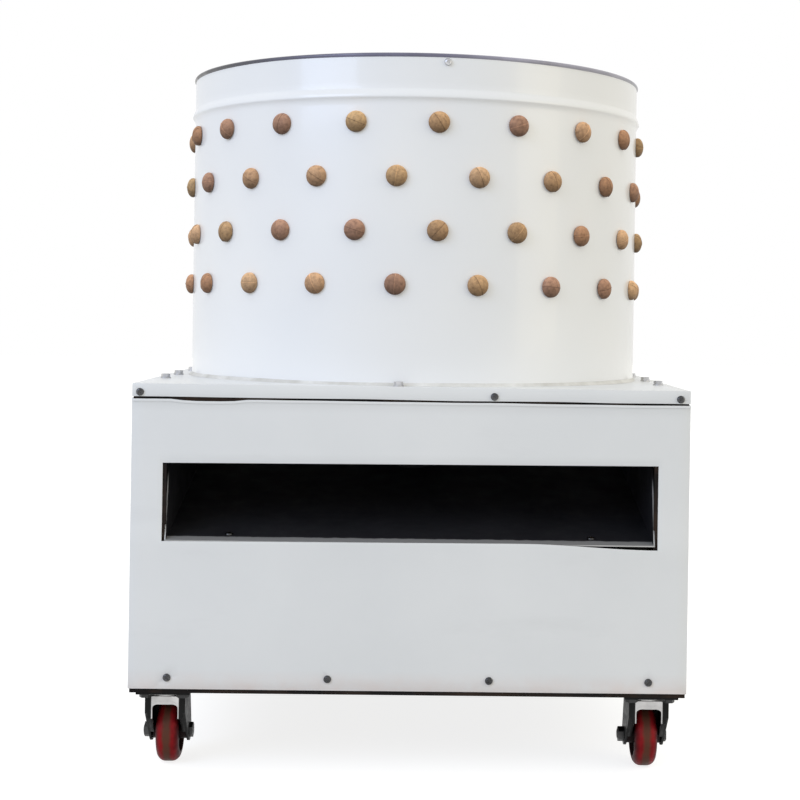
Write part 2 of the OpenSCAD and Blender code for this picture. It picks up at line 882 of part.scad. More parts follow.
// Hexagon bolts of the frame: drum braces, spindle housing, motor's plate and motor
module frame_bolts() {
  brace_grip = drum_wall + clear + brace_t + clear;
  color("silver") {
    brace_bolt_places() translate([0, 0, -clear]) rotate([180, 0, 0])
      bolt_and_nut(bolt_d, bolt_af, bolt_head_h, nut_h, brace_grip);
    housing_bolt_places() translate([0, 0, housing_flange_t])
      bolt_and_nut(bolt_d, bolt_af, bolt_head_h, nut_h, housing_flange_t + beam_w);
    bar_bolt_places()
      bolt_and_nut(bolt_d, bolt_af, bolt_head_h, nut_h, motor_plate_t + motor_bar_t);
    motor_bolt_places() {
      translate([0, 0, -motor_plate_t - bolt_head_h]) hex(bolt_af, bolt_head_h);
      translate([0, 0, -motor_plate_t]) cylinder(d = bolt_d, h = motor_plate_t + motor_thread);
    }
  }
}

// Sloping tray from under the turntable to the outlet, with a collar round the shaft
module feather_chute() {
  collar_bottom = axis_floor_z - collar_drop;
  color("black") {
    difference() {
      union() {
        on_chute() translate([-chute_w / 2, 0, 0]) cube([chute_w, chute_len, chute_t]);
        for (s = [-1, 1]) translate([s * (chute_w - chute_t) / 2 - chute_t / 2, 0, 0])
          rotate([90, 0, 90]) linear_extrude(height = chute_t)
            polygon([[lip_y, lip_z], [chute_back, back_floor_z], [chute_back, cheek_top],
              [lip_y + (cheek_top - lip_z) * tan(cheek_lean), cheek_top]]);
        for (s = [-1, 1])
          translate([s * (chute_w + cheek_flange) / 2 - cheek_flange / 2, -post_edge, cheek_top - chute_t])
            cube([cheek_flange, 2 * post_edge, chute_t]);
      }
      translate([0, 0, collar_bottom]) cylinder(d = collar_d, h = collar_top - collar_bottom);
      chute_screw_places() chute_screw_hole();
    }
    translate([0, 0, collar_bottom]) tube(collar_d, collar_d - 2 * collar_wall, collar_top - collar_bottom);
  }
}

// Flat bars under both ends of the chute, from post to post
module chute_supports() {
  color("dimgray") difference() {
    on_chute() for (y = [support_inset, chute_len - support_inset - support_w])
      translate([-post_in, y, -support_t]) cube([2 * post_in, support_w, support_t]);
    chute_screw_places() chute_screw_hole();
  }
}

// Housing of the spindle: a tube with bearing seats and a square flange on the beams
module spindle_housing() {
  bore_d = bearing_d - 8;
  color("slategray") difference() {
    union() {
      translate([0, 0, housing_bottom]) cylinder(d = housing_d, h = housing_len);
      translate([-housing_flange_w / 2, -housing_flange_len / 2, beam_top])
        cube([housing_flange_w, housing_flange_len, housing_flange_t]);
    }
    translate([0, 0, housing_bottom - cut]) cylinder(d = bore_d, h = housing_len + 2 * cut);
    translate([0, 0, housing_bottom - cut])
      cylinder(d = bearing_d + 2 * fit, h = cut + seal_w + bearing_w);
    translate([0, 0, bearing_z[1]]) cylinder(d = bearing_d + 2 * fit, h = bearing_w + seal_w + cut);
    housing_bolt_places() translate([0, 0, -cut])
      cylinder(d = bolt_d + hole_play, h = housing_flange_t + 2 * cut);
  }
}

// Ring of balls' groove
module ball_groove() {
  rotate_extrude() translate([ball_r, bearing_w / 2]) circle(d = groove_d);
}

// Outer rings and balls of the two spindle bearings
module spindle_bearings() {
  color("lightsteelblue") for (z = bearing_z) translate([0, 0, z]) {
    difference() {
      tube(bearing_d, 2 * (ball_r + land), bearing_w);
      ball_groove();
    }
    around(ball_count) translate([ball_r, 0, bearing_w / 2]) sphere(d = ball_d);
  }
}

module bearing_inner_rings() {
  color("lightsteelblue") for (z = bearing_z) translate([0, 0, z]) difference() {
    tube(2 * (ball_r - land), shaft_d + 2 * fit, bearing_w);
    ball_groove();
  }
}

module shaft_seals() {
  color("black") for (z = [housing_bottom, housing_top - seal_w]) translate([0, 0, z])
    tube(bearing_d, shaft_d + 2 * run, seal_w);
}

// Motor housing: flange, finned barrel and both end shields round a bearing each
module motor_housing() {
  barrel = motor_body_top - motor_z;
  color("steelblue") translate([0, motor_y, motor_z]) difference() {
    union() {
      cylinder(d = motor_flange_d, h = motor_flange_t);
      cylinder(r = motor_r, h = barrel);
      for (i = [0:fin_count - 1]) {
        a = i * 360 / fin_count;
        if (a > box_half_angle && a < 360 - box_half_angle) rotate([0, 0, a])
          translate([motor_r - fin_t, -fin_t / 2, motor_flange_t]) cube([fin_h + fin_t, fin_t, fin_len]);
      }
    }
    translate([0, 0, shield_t]) cylinder(r = motor_in, h = barrel - 2 * shield_t);
    translate([0, 0, end_lip]) cylinder(d = motor_bearing_d + 2 * fit, h = barrel - 2 * end_lip);
    translate([0, 0, -cut]) cylinder(d = motor_shaft_d + 4 * clear, h = barrel + 2 * cut);
    translate([0, -motor_y, -motor_z]) motor_bolt_places() translate([0, 0, -cut])
      cylinder(d = bolt_d + 2 * fit, h = cut + motor_thread + thread_end);
  }
}

module motor_stator() {
  color("darkgoldenrod") translate([0, motor_y, core_z])
    tube(2 * (motor_in - fit), 2 * stator_in, core_len);
}

module motor_bearings() {
  color("lightsteelblue") translate([0, motor_y, 0])
    for (z = [motor_z + end_lip, motor_body_top - end_lip - motor_bearing_w]) translate([0, 0, z])
      tube(motor_bearing_d, motor_shaft_d + 2 * run, motor_bearing_w);
}

// Cover over the motor's fan, with a ring of air holes
module motor_fan_cover() {
  outer_d = 2 * motor_r;
  color("steelblue") translate([0, motor_y, motor_body_top]) difference() {
    cylinder(d = outer_d, h = fan_cover_len);
    translate([0, 0, -cut])
      cylinder(d = outer_d - 2 * fan_cover_wall, h = fan_cover_len - fan_cover_wall + cut);
    for (ring = air_rings) around(ring[1])
      translate([ring[0], 0, fan_cover_len - 2 * fan_cover_wall - cut])
        cylinder(d = air_hole_d, h = 2 * fan_cover_wall + 2 * cut);
  }
}

module motor_terminal_box() {
  color("dimgray") translate([0, motor_y, box_z]) difference() {
    union() {
      translate([0, -box_w / 2, 0]) cube([motor_r + box_out, box_w, box_h]);
      translate([motor_r + box_out, -box_w / 2 - box_wall, -box_wall])
        cube([box_wall, box_w + 2 * box_wall, box_h + 2 * box_wall]);
    }
    translate([0, 0, -box_h]) cylinder(r = motor_r + fit, h = 3 * box_h);
    translate([motor_r + box_back, -box_w / 2 + box_wall, box_wall])
      cube([box_out - box_back, box_w - 2 * box_wall, box_h - 2 * box_wall]);
  }
}

module motor_plate() {
  color("dimgray") difference() {
    translate([-motor_plate_w / 2, motor_plate_y[0], motor_plate_z])
      cube([motor_plate_w, motor_plate_y[1] - motor_plate_y[0], motor_plate_t]);
    translate([0, motor_y, motor_plate_z - cut]) cylinder(d = shaft_hole_d, h = motor_plate_t + 2 * cut);
    motor_bolt_places() bolt_hole();
    bar_bolt_places() bolt_hole();
  }
}

// Section of the belt at a pulley of radius r, in the pulley's own radius and height
module belt_section(r, inset = 0) {
  outer_half = belt_w / 2 - 2 * inset;
  inner_half = belt_w / 2 - belt_h * tan(belt_angle) - inset;
  polygon([[r - inset, belt_z - outer_half], [r - inset, belt_z + outer_half],
    [r - belt_h + inset, belt_z + inner_half], [r - belt_h + inset, belt_z - inner_half]]);
}

// Open belt round both pulleys, its straight runs let into the ends of its arcs
module v_belt() {
  big = pulley_d / 2;
  small = motor_pulley_d / 2;
  color("black") {
    rotate([0, 0, 180 - belt_lean]) rotate_extrude(angle = 180 + 2 * belt_lean) belt_section(big);
    translate([0, motor_y, 0]) rotate([0, 0, belt_lean])
      rotate_extrude(angle = 180 - 2 * belt_lean) belt_section(small);
    for (s = [0, 1]) mirror([s, 0, 0])
      rotate([0, 0, belt_lean]) translate([0, belt_run + belt_lap, 0]) rotate([90, 0, 0])
        linear_extrude(height = belt_run + 2 * belt_lap) belt_section(big, belt_step);
  }
}

// Places of the turntable's fingers
module turntable_places() {
  for (ring = finger_rings) around(ring[1]) translate([ring[0], 0, disc_z]) children();
}

module hub_bolt_places() {
  around(hub_bolts, 30) translate([hub_bolt_r, 0, disc_top]) children();
}

module hub_bolt_holes() {
  hub_bolt_places() bolt_hole();
}

module turntable_disc() {
  color("lightgray") difference() {
    translate([0, 0, disc_z]) cylinder(d = disc_d, h = disc_t);
    translate([0, 0, disc_z - cut]) cylinder(d = thread_d + 2 * fit, h = disc_t + 2 * cut);
    turntable_places() translate([0, 0, -cut]) cylinder(d = hole_d, h = disc_t + 2 * cut);
    hub_bolt_holes();
  }
}

module turntable_hub() {
  color("slategray") difference() {
    union() {
      translate([0, 0, disc_z - hub_flange_t]) cylinder(d = hub_flange_d, h = hub_flange_t);
      translate([0, 0, disc_z - hub_flange_t - hub_len]) cylinder(d = hub_d, h = hub_len);
    }
    translate([0, 0, disc_z - hub_flange_t - hub_len - cut])
      cylinder(d = shaft_d + 2 * fit, h = hub_len + hub_flange_t + 2 * cut);
    hub_bolt_holes();
  }
}

module turntable_fingers() {
  color("sienna") turntable_places() translate([0, 0, -clear / 2]) rotate([180, 0, 0])
    finger(disc_t + clear);
}

// Bolts between turntable and hub, and the nut and washer on the spindle
module turntable_bolts() {
  nut_af = 1.5 * thread_d;
  color("silver") {
    hub_bolt_places() bolt_and_nut(bolt_d, bolt_af, bolt_head_h, nut_h, disc_t + hub_flange_t);
    translate([0, 0, disc_top]) difference() {
      union() {
        cylinder(d = nut_af + 10, h = washer_t);
        hex(nut_af, washer_t + 0.8 * thread_d);
      }
      translate([0, 0, -cut]) cylinder(d = thread_d + 2 * fit, h = washer_t + thread_d + 2 * cut);
    }
  }
}

module spindle_shaft() {
  color("silver") {
    translate([0, 0, pulley_bottom]) cylinder(d = shaft_d, h = disc_z - pulley_bottom);
    translate([0, 0, disc_z]) cylinder(d = thread_d, h = disc_t + washer_t + thread_d);
  }
}

// V-groove section of a pulley, cut from its rim
module belt_groove(r) {
  rotate_extrude()
    polygon([[r + cut, belt_z - groove_half(-cut)], [r + cut, belt_z + groove_half(-cut)],
      [r - groove_h, belt_z + groove_half(groove_h)], [r - groove_h, belt_z - groove_half(groove_h)]]);
}

module large_pulley() {
  web_r = pulley_d / 2 - pulley_rim;
  color("dimgray") difference() {
    union() {
      translate([0, 0, pulley_bottom]) tube(pulley_d, 2 * web_r, pulley_w);
      translate([0, 0, web_bottom]) cylinder(r = web_r, h = pulley_web);
      translate([0, 0, pulley_bottom]) cylinder(d = pulley_hub_d, h = pulley_hub_h);
    }
    belt_groove(pulley_d / 2);
    translate([0, 0, pulley_bottom - cut]) cylinder(d = shaft_d + 2 * fit, h = pulley_hub_h + 2 * cut);
    around(web_holes) translate([(web_r + pulley_hub_d / 2) / 2, 0, web_bottom - cut])
      cylinder(d = web_hole_d, h = pulley_web + 2 * cut);
  }
}

// Motor shaft with its rotor core
module motor_shaft() {
  color("silver") translate([0, motor_y, 0]) {
    translate([0, 0, pulley_bottom])
      cylinder(d = motor_shaft_d, h = motor_body_top + fan_gap + fan_h - pulley_bottom);
    translate([0, 0, core_z]) cylinder(d = rotor_d, h = core_len);
  }
}

module motor_pulley() {
  color("dimgray") translate([0, motor_y, 0]) difference() {
    translate([0, 0, pulley_bottom]) cylinder(d = motor_pulley_d, h = pulley_w);
    belt_groove(motor_pulley_d / 2);
    translate([0, 0, pulley_bottom - cut]) cylinder(d = motor_shaft_d + 2 * fit, h = pulley_w + 2 * cut);
  }
}

module motor_fan() {
  color("black") translate([0, motor_y, motor_body_top + fan_gap]) difference() {
    union() {
      cylinder(d = fan_hub_d, h = fan_h);
      cylinder(d = fan_d, h = blade_t);
      around(fan_blades, 90 / fan_blades) translate([fan_hub_d / 2 - blade_t, -blade_t / 2, blade_t / 2])
        cube([(fan_d - fan_hub_d) / 2, blade_t, fan_h - blade_t]);
    }
    translate([0, 0, -cut]) cylinder(d = motor_shaft_d + 2 * fit, h = fan_h + 2 * cut);
  }
}

// Hollow housing of the push-button switch on the rear panel
module switch_housing() {
  inner_w = switch_w - 2 * switch_wall;
  inner_h = switch_h - 2 * switch_wall;
  color("dimgray") difference() {
    translate([switch_x - switch_w / 2, half, switch_mid - switch_h / 2])
      cube([switch_w, switch_depth, switch_h]);
    translate([switch_x - inner_w / 2, half + switch_wall, switch_mid - inner_h / 2])
      cube([inner_w, switch_depth - 2 * switch_wall, inner_h]);
    for (s = [-1, 1]) button_place(s) translate([0, 0, -switch_wall - cut])
      cylinder(d = button_d + 2 * run, h = switch_wall + 2 * cut);
    translate([switch_x, half - cut, switch_mid]) rotate([-90, 0, 0])
      cylinder(d = cable_hole_d, h = switch_wall + 2 * cut);
    translate([switch_x, half + switch_depth / 2, switch_mid - switch_h / 2 - cut])
      cylinder(d = gland_stub_d + 2 * fit, h = switch_wall + 2 * cut);
  }
}

// Place of a button on the switch's face, +Z out of the face
module button_place(side) {
  translate([switch_x, switch_y, switch_mid + side * button_pitch / 2]) rotate([-90, 0, 0]) children();
}

// Push button with a retaining flange inside the housing
module push_button(side) {
  button_place(side) rotate_extrude()
    polygon([
      [0, -switch_wall - clear - button_flange],
      [button_d / 2 + button_flange, -switch_wall - clear - button_flange],
      [button_d / 2 + button_flange, -switch_wall - clear], [button_d / 2, -switch_wall - clear],
      [button_d / 2, button_out - button_edge], [button_d / 2 - button_edge, button_out], [0, button_out],
    ]);
}

module start_button() {
  color("green") push_button(1);
}

module stop_button() {
  color("red") push_button(-1);
}

// Cable gland in the underside of the switch's housing
module cable_gland() {
  nut_r = gland_d / 2;
  color("black") translate([switch_x, half + switch_depth / 2, switch_mid - switch_h / 2])
    difference() {
      union() {
        translate([0, 0, -gland_hex_h]) hex(gland_hex, gland_hex_h);
        cylinder(d = gland_stub_d, h = gland_stub_h);
        translate([0, 0, -gland_hex_h - gland_nut_h]) rotate_extrude()
          polygon([[0, 0], [nut_r - gland_taper[0], 0], [nut_r, gland_taper[1]], [nut_r, gland_nut_h],
            [0, gland_nut_h]]);
      }
      translate([0, 0, -gland_hex_h - gland_nut_h - cut])
        cylinder(d = gland_bore, h = gland_hex_h + gland_nut_h + gland_stub_h + 2 * cut);
    }
}

// A caster's own frame: on the floor under its swivel, the wheel trailing inwards
module at_caster(sx, sy) {
  translate([sx * caster_x, sy * caster_y, 0]) rotate([0, 0, sy > 0 ? 180 : 0]) children();
}

// Plates, upper races and riveted king pins of all four casters
module caster_plates() {
  king_bottom = crown_bottom - clear;
  color("silver") difference() {
    for (sx = [-1, 1], sy = [-1, 1]) at_caster(sx, sy) {
      translate([-plate_w / 2, -plate_len / 2, plate_bottom]) cube([plate_w, plate_len, plate_t]);
      translate([0, 0, race_bottom]) cylinder(d = race_d, h = race_h);
      translate([0, 0, king_bottom]) cylinder(d = king_d, h = race_bottom - king_bottom);
      translate([0, 0, king_bottom - king_head_h]) cylinder(d = king_head_d, h = king_head_h);
    }
    caster_bolt_holes(plate_bottom, caster_h);
  }
}

module caster_bolts() {
  color("silver") caster_bolt_places() translate([0, 0, plate_bottom]) mirror([0, 0, 1])
    bolt_and_nut(bolt_d, bolt_af, bolt_head_h, nut_h, plate_t + 2 * angle_t);
}

// Fork: crown on the king pin, two legs down to the axle and an arched front wall
module caster_fork(sx, sy) {
  axle = [trail, wheel_r];
  outer = fork_w / 2 + fork_t;
  front_knee = [-leg_front, web_top - leg_knee];
  back_top = [leg_back, web_top];
  color("silver") at_caster(sx, sy) difference() {
    union() {
      translate([0, 0, crown_bottom]) cylinder(d = crown_d, h = crown_h);
      translate([-outer, -leg_front, web_top - web_t]) cube([2 * outer, leg_front + leg_back, web_t]);
      for (x = [-outer, fork_w / 2]) translate([x, 0, 0]) rotate([90, 0, 90])
        linear_extrude(height = fork_t) {
          polygon([[-leg_front, web_top], front_knee, tangent_point(front_knee, axle, leg_end, 1),
            axle, tangent_point(back_top, axle, leg_end, -1), back_top]);
          translate(axle) circle(r = leg_end);
        }
      translate([0, -leg_front + fork_t, 0]) rotate([90, 0, 0]) linear_extrude(height = fork_t)
        fork_apron();
    }
    translate([0, 0, crown_bottom - cut]) cylinder(d = king_d + 2 * run, h = crown_h + 2 * cut);
    translate([-outer - cut, axle[0], axle[1]]) rotate([0, 90, 0])
      cylinder(d = axle_d + 2 * fit, h = 2 * outer + 2 * cut);
  }
}

// Front wall of a fork, with a round-shouldered arch for the wheel
module fork_apron() {
  bottom = web_top - apron_drop;
  difference() {
    translate([-fork_w / 2, bottom]) square([fork_w, apron_drop]);
    translate([-arch_w / 2, bottom - cut]) square([arch_w, arch_top - arch_round - bottom + cut]);
    translate([-arch_w / 2 + arch_round, bottom - cut])
      square([arch_w - 2 * arch_round, arch_top - bottom + cut]);
    for (s = [-1, 1]) translate([s * (arch_w / 2 - arch_round), arch_top - arch_round])
      circle(r = arch_round);
  }
}

// Axle bolt through the fork, with its nut
module caster_axle(sx, sy) {
  outer = fork_w / 2 + fork_t;
  color("dimgray") at_caster(sx, sy) translate([outer, trail, wheel_r]) rotate([0, 90, 0])
    bolt_and_nut(axle_d, axle_head_af, axle_head_h, axle_nut_h, 2 * outer);
}

// Wheel with round shoulders, a recessed web and a hub between the fork's legs
module caster_wheel(sx, sy) {
  flat = wheel_w / 2 - wheel_round;
  color("firebrick") at_caster(sx, sy) translate([0, trail, wheel_r]) rotate([0, 90, 0])
    rotate_extrude() difference() {
      union() {
        translate([axle_d / 2 + run, -wheel_w / 2])
          square([wheel_r - wheel_round - axle_d / 2 - run, wheel_w]);
        translate([wheel_groove[1], -flat]) square([wheel_r - wheel_groove[1], 2 * flat]);
        for (s = [-1, 1]) translate([wheel_r - wheel_round, s * flat]) circle(r = wheel_round);
        translate([axle_d / 2 + run, -hub_half]) square([wheel_hub_d / 2 - axle_d / 2 - run, 2 * hub_half]);
      }
      for (s = [-1, 1])
        translate([wheel_groove[0], s * wheel_w / 2 - groove_depth])
          square([wheel_groove[1] - wheel_groove[0], 2 * groove_depth]);
    }
}

drum();
rim_ring();
rim_bolt();
drum_seal();
drum_fingers([lower_rows:finger_rows - 1]);  // drum_fingers_upper
drum_fingers([0:lower_rows - 1]);  // drum_fingers_lower
top_cover();
front_panel();
rear_panel();
left_panel();
right_panel();
sheet_screws();
cover_bolts();
corner_posts();
bottom_rails();
upper_rails();
bearing_beams();
motor_bars();
drum_braces();
frame_bolts();
feather_chute();
chute_supports();
spindle_housing();
spindle_bearings();
bearing_inner_rings();
shaft_seals();
motor_housing();
motor_stator();
motor_bearings();
motor_fan_cover();
motor_terminal_box();
motor_plate();
v_belt();
turntable_disc();
turntable_hub();
turntable_fingers();
turntable_bolts();
spindle_shaft();
large_pulley();
motor_shaft();
motor_pulley();
motor_fan();
switch_housing();
start_button();
stop_button();
cable_gland();
caster_plates();
caster_bolts();
caster_fork(-1, -1);  // caster_fork_front_left
caster_fork(1, -1);  // caster_fork_front_right
caster_fork(-1, 1);  // caster_fork_rear_left
caster_fork(1, 1);  // caster_fork_rear_right
caster_axle(-1, -1);  // caster_axle_front_left
caster_axle(1, -1);  // caster_axle_front_right
caster_axle(-1, 1);  // caster_axle_rear_left
caster_axle(1, 1);  // caster_axle_rear_right
caster_wheel(-1, -1);  // caster_wheel_front_left
caster_wheel(1, -1);  // caster_wheel_front_right
caster_wheel(-1, 1);  // caster_wheel_rear_left
caster_wheel(1, 1);  // caster_wheel_rear_right
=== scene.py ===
"""Looks of the drum poultry plucker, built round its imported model. Metres, floor at Z = 0, front towards -Y."""

import json
import math
import random

import bmesh
import bpy
from mathutils import Matrix, Vector, noise


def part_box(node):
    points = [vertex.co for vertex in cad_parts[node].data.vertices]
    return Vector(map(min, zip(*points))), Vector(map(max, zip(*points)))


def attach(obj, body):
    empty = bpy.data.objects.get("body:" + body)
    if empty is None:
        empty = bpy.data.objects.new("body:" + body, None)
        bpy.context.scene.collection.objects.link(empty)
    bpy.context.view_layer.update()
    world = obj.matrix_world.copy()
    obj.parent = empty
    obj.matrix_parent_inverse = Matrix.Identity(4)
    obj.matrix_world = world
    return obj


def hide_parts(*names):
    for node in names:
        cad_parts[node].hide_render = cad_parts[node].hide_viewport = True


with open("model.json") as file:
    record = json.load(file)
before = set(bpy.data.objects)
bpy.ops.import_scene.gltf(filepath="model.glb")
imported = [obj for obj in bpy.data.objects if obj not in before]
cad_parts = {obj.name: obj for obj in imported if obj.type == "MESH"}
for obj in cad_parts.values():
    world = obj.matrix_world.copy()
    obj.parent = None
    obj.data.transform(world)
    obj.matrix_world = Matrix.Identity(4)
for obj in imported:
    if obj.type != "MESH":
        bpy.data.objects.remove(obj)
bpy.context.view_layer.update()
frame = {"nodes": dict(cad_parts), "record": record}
nodes = frame["nodes"]
scene = bpy.context.scene
scene.view_settings.view_transform = "Standard"

# Camera that took the photograph: pixels of its square frame, metres and radians
PHOTO_PX = 800
FOCAL_PX = 1593.0
CENTRE_PX = (445.5, 310.9)
CAMERA_AT = (-0.0020, -2.2127, 0.5548)
CAMERA_ROLL = 0.0156
CAMERA_YAW = 0.0209
SENSOR_MM = 36.0

# Drum wall, with its slight waves and the welded seam at its back
DRUM_R = 0.303
DRUM_WALL = 0.0015
DRUM_STEPS = 300
WALL_STEPS = 40
LEAST_STEP = 0.0004
LONG_WAVE = 0.0004
SHORT_WAVE = 0.0003
SEAM_ANGLE = math.pi / 2
SEAM_H = 0.0009
SEAM_DEGREES = 0.5
SEAM_STEP = math.radians(0.12)
SEAM_STEPS = 14
SEAM_CLEAR = math.radians(1.9)

# Bead near the drum's top, whose sides follow two powers, and the rolled rim
BEAD_Z = 0.8110
BEAD_H = 0.0215
BEAD_OUT = 0.0035
BEAD_CREST = 0.477
BEAD_UNDER = 3.0
BEAD_OVER = 1.4
BEAD_STEPS = 24
RIM_W = 0.0045
RIM_H = 0.0052
RIM_Z = 0.8612
RIM_SIDES = 20
RIM_STEPS = 240

# Rows and rings of fingers, with angles in degrees
ROW_Z = (0.586, 0.651, 0.716, 0.781)
ROW_COUNT = 19
ROW_ANGLE = 5.1
RINGS = ((0.238, 20), (0.170, 14), (0.104, 8))
DISC_Z = 0.480
SEAT = 0.00015
DRUM_GRIP = 0.0021
DISC_GRIP = 0.0043

# One finger
HEAD_R = 0.013
HEAD_H = 0.010
HEAD_LIP = 0.0022
HEAD_STEPS = 12
NECK_R = 0.010
SHOULDER_R = 0.012
SHOULDER_H = 0.004
FINGER_LEN = 0.082
FINGER_SIDES = 24
TIP_R = 0.0065
POLE_R = 0.0002
FINGER_RIBS = 12
RIB_H = 0.0009
RIBS_END = 0.95
RIDGE_HALF = 0.0005
RIDGE_H = 0.0004
RIDGE_SINK = 0.0002
RIDGE_STEPS = 18
RIDGE_REACH = 0.94
# Each mould ridge gets one of two colour factors, picked at random: darker as painted shade, lighter as a painted
# highlight
RIDGE_PAINTED_LIGHT = (0.55, 1.5)
# Painted shade on the fingers: heads paler above and darker below, as light from above falls, and shanks a flat shade
# darker
HEAD_PAINTED_SHADE = 0.65
SHANK_SHADE = 0.9
BROWN = (0.385, 0.207, 0.116)
TAN = (0.53, 0.335, 0.19)
MAUVE = (0.315, 0.178, 0.12)
OLIVE = (0.43, 0.28, 0.14)

# Edges of the cover's flange and of the front panel with its outlet
FLANGE_Y = -0.3275
FLANGE_Z = 0.4515
FLANGE_HANG = 0.0013
FLANGE_WAVE = 0.0006
SLOT_Z = (0.278, 0.373)
SLOT_HALF = 0.293
SLOT_FADE = 0.03
SILL_OUT = 0.0012
SILL_RISE = 0.0020
SILL_TILT = 0.0014
SILL_DROOP = 0.0068
DROOP_FROM = 0.45
LINTEL_RISE = -0.00035
LINTEL_TILT = 0.00175
HEM_Z = 0.4425
HEM_WAVE = 0.0007
DIP_X = -0.238
DIP_HALF = 0.038
DIP_DEPTH = 0.0022

# Casters: wheels, flanges of the fork legs and the lip along each fork's arch
SWIVEL_X = 0.290
SWIVEL_Y = 0.280
WHEEL_R = 0.0375
WHEEL_HALF = 0.0138
WHEEL_STEPS = 56
CROWN_FLAT = 0.0035
CROWN_ROUND = 0.010
CROWN_STEPS = 9
BORE_R = 0.0052
HUB_R = 0.0105
HUB_HALF = 0.0205
WEB_HALF = 0.0092
CORE_R = 0.0262
LEG_IN = 0.021
FLANGE_T = 0.0025
FLANGE_BITE = 0.0004
FLANGE_ROUND = 0.0006
ARCH_HALF = 0.015
ARCH_ROUND = 0.008
ARCH_TOP = 0.0822
LIP_H = 0.0028
LIP_LAP = 0.001
LIP_Y = (-0.0233, -0.0197)
LIP_STEPS = 24
LIP_REACH = 0.96

# Range in which most noise lies
NOISE_LOW = 0.3
NOISE_HIGH = 0.7

# Places where one colour turns into another, some of them painted light or shade, from where it starts to where it is
# full
# Heights over which the base's pinkish band near its foot fades in
FOOT_BAND_Z = (0.128, 0.106)
# Across which the rim's painted shade and painted highlight run
RIM_X = (-0.31, 0.31)
CHUTE_Y = (-0.28, -0.30)
BARE_Z = (0.358, 0.342)
WORN_Y = (-0.3150, -0.3180)
STRIP_OFF = (0.0025, 0.0062)
# Where the painted shade on the wheels' shoulders starts and where it is full
SHOULDER_OFF = (0.0080, 0.0135)
RAGGED = 0.0012
# Bounds of the casters' zinc fronts; past them the casters are near black, which behind the fronts is painted shade
PLATED_OFF = (0.0168, 0.0160)
PLATED_Z = (0.0958, 0.0954)
PLATED_Y = (SWIVEL_Y + 0.002, SWIVEL_Y + 0.006)

# Measures of the mesh work, and the axes
MERGE = 1e-6
NEAR = 1e-5
FLAT_ANGLE = 0.01
SHARP_ANGLE = 0.6
INWARD = -0.7
X, Y, Z = range(3)


# Materials

class Shader:
    """One procedural material, with short ways to add its nodes."""

    def __init__(self, name, **values):
        self.material = bpy.data.materials.new(name)
        self.material.use_nodes = True
        self.nodes = self.material.node_tree.nodes
        self.links = self.material.node_tree.links
        self.surface = self.nodes["Principled BSDF"]
        self.place = self.nodes.new("ShaderNodeTexCoord").outputs["Object"]
        for key, value in values.items():
            self.surface.inputs[key.replace("_", " ")].default_value = value

    def add(self, kind, inputs=None, **settings):
        node = self.nodes.new(kind)
        for key, value in settings.items():
            setattr(node, key, value)
        for key, value in (inputs or {}).items():
            if isinstance(value, bpy.types.NodeSocket):
                self.links.new(value, node.inputs[key])
            else:
                node.inputs[key].default_value = value
        return node

    def noise(self, scale, detail, stretch=(1, 1, 1)):
        """Noise with a number of bumps per metre, drawn out along the axes with a small stretch."""
        place = self.place
        if stretch != (1, 1, 1):
            place = self.add("ShaderNodeMapping", {"Vector": place, "Scale": stretch}).outputs[0]
        values = {"Vector": place, "Scale": scale, "Detail": detail, "Roughness": 0.55}
        return self.add("ShaderNodeTexNoise", values).outputs["Fac"]

    def span(self, value, low, high, to_low=0.0, to_high=1.0):
        values = {"Value": value, 1: low, 2: high, 3: to_low, 4: to_high}
        return self.add("ShaderNodeMapRange", values).outputs[0]

    def vary(self, scale, detail, low, high, stretch=(1, 1, 1)):
        """Noise brought to a range."""
        return self.span(self.noise(scale, detail, stretch), NOISE_LOW, NOISE_HIGH, low, high)

    def math(self, operation, a, b=0.0):
        return self.add("ShaderNodeMath", {0: a, 1: b}, operation=operation).outputs[0]

    def ramp(self, value, *stops):
        node = self.add("ShaderNodeValToRGB", {"Fac": value})
        points = node.color_ramp.elements
        while len(points) < len(stops):
            points.new(0.5)
        for point, (position, colour) in zip(points, stops):
            point.position = position
            point.color = (*colour, 1)
        return node.outputs["Color"]

    def drift(self, scale, detail, dark, light):
        """Colour that drifts between two tones."""
        return self.ramp(self.noise(scale, detail), (NOISE_LOW, dark), (NOISE_HIGH, light))

    def mix(self, share, a, b, blend="MIX"):
        node = self.add("ShaderNodeMix", data_type="RGBA", blend_type=blend)
        for socket, value in zip((node.inputs[0], node.inputs[6], node.inputs[7]), (share, a, b)):
            if isinstance(value, bpy.types.NodeSocket):
                self.links.new(value, socket)
            else:
                socket.default_value = value if isinstance(value, float) else (*value, 1)
        return node.outputs[2]

    def parts(self, vector):
        return self.add("ShaderNodeSeparateXYZ", {"Vector": vector}).outputs

    def attribute(self, name, output="Fac"):
        return self.add("ShaderNodeAttribute", attribute_name=name).outputs[output]

    def give(self, key, socket):
        self.links.new(socket, self.surface.inputs[key])

    def rough(self, low, high, scale, stretch=(1, 1, 1)):
        self.give("Roughness", self.vary(scale, 4, low, high, stretch))

    def bump(self, height, strength, depth):
        values = {"Height": height, "Strength": strength, "Distance": depth}
        self.give("Normal", self.add("ShaderNodeBump", values).outputs["Normal"])


def drum_paint():
    s = Shader("drum_white", Coat_Weight=0.45, Coat_Roughness=0.1)
    s.give("Base Color", s.ramp(s.noise(3, 2), (0.35, (0.80, 0.815, 0.84)), (0.65, (0.86, 0.865, 0.87))))
    s.rough(0.3, 0.4, 5)
    s.bump(s.noise(260, 1), 0.03, 0.0004)
    return s.material


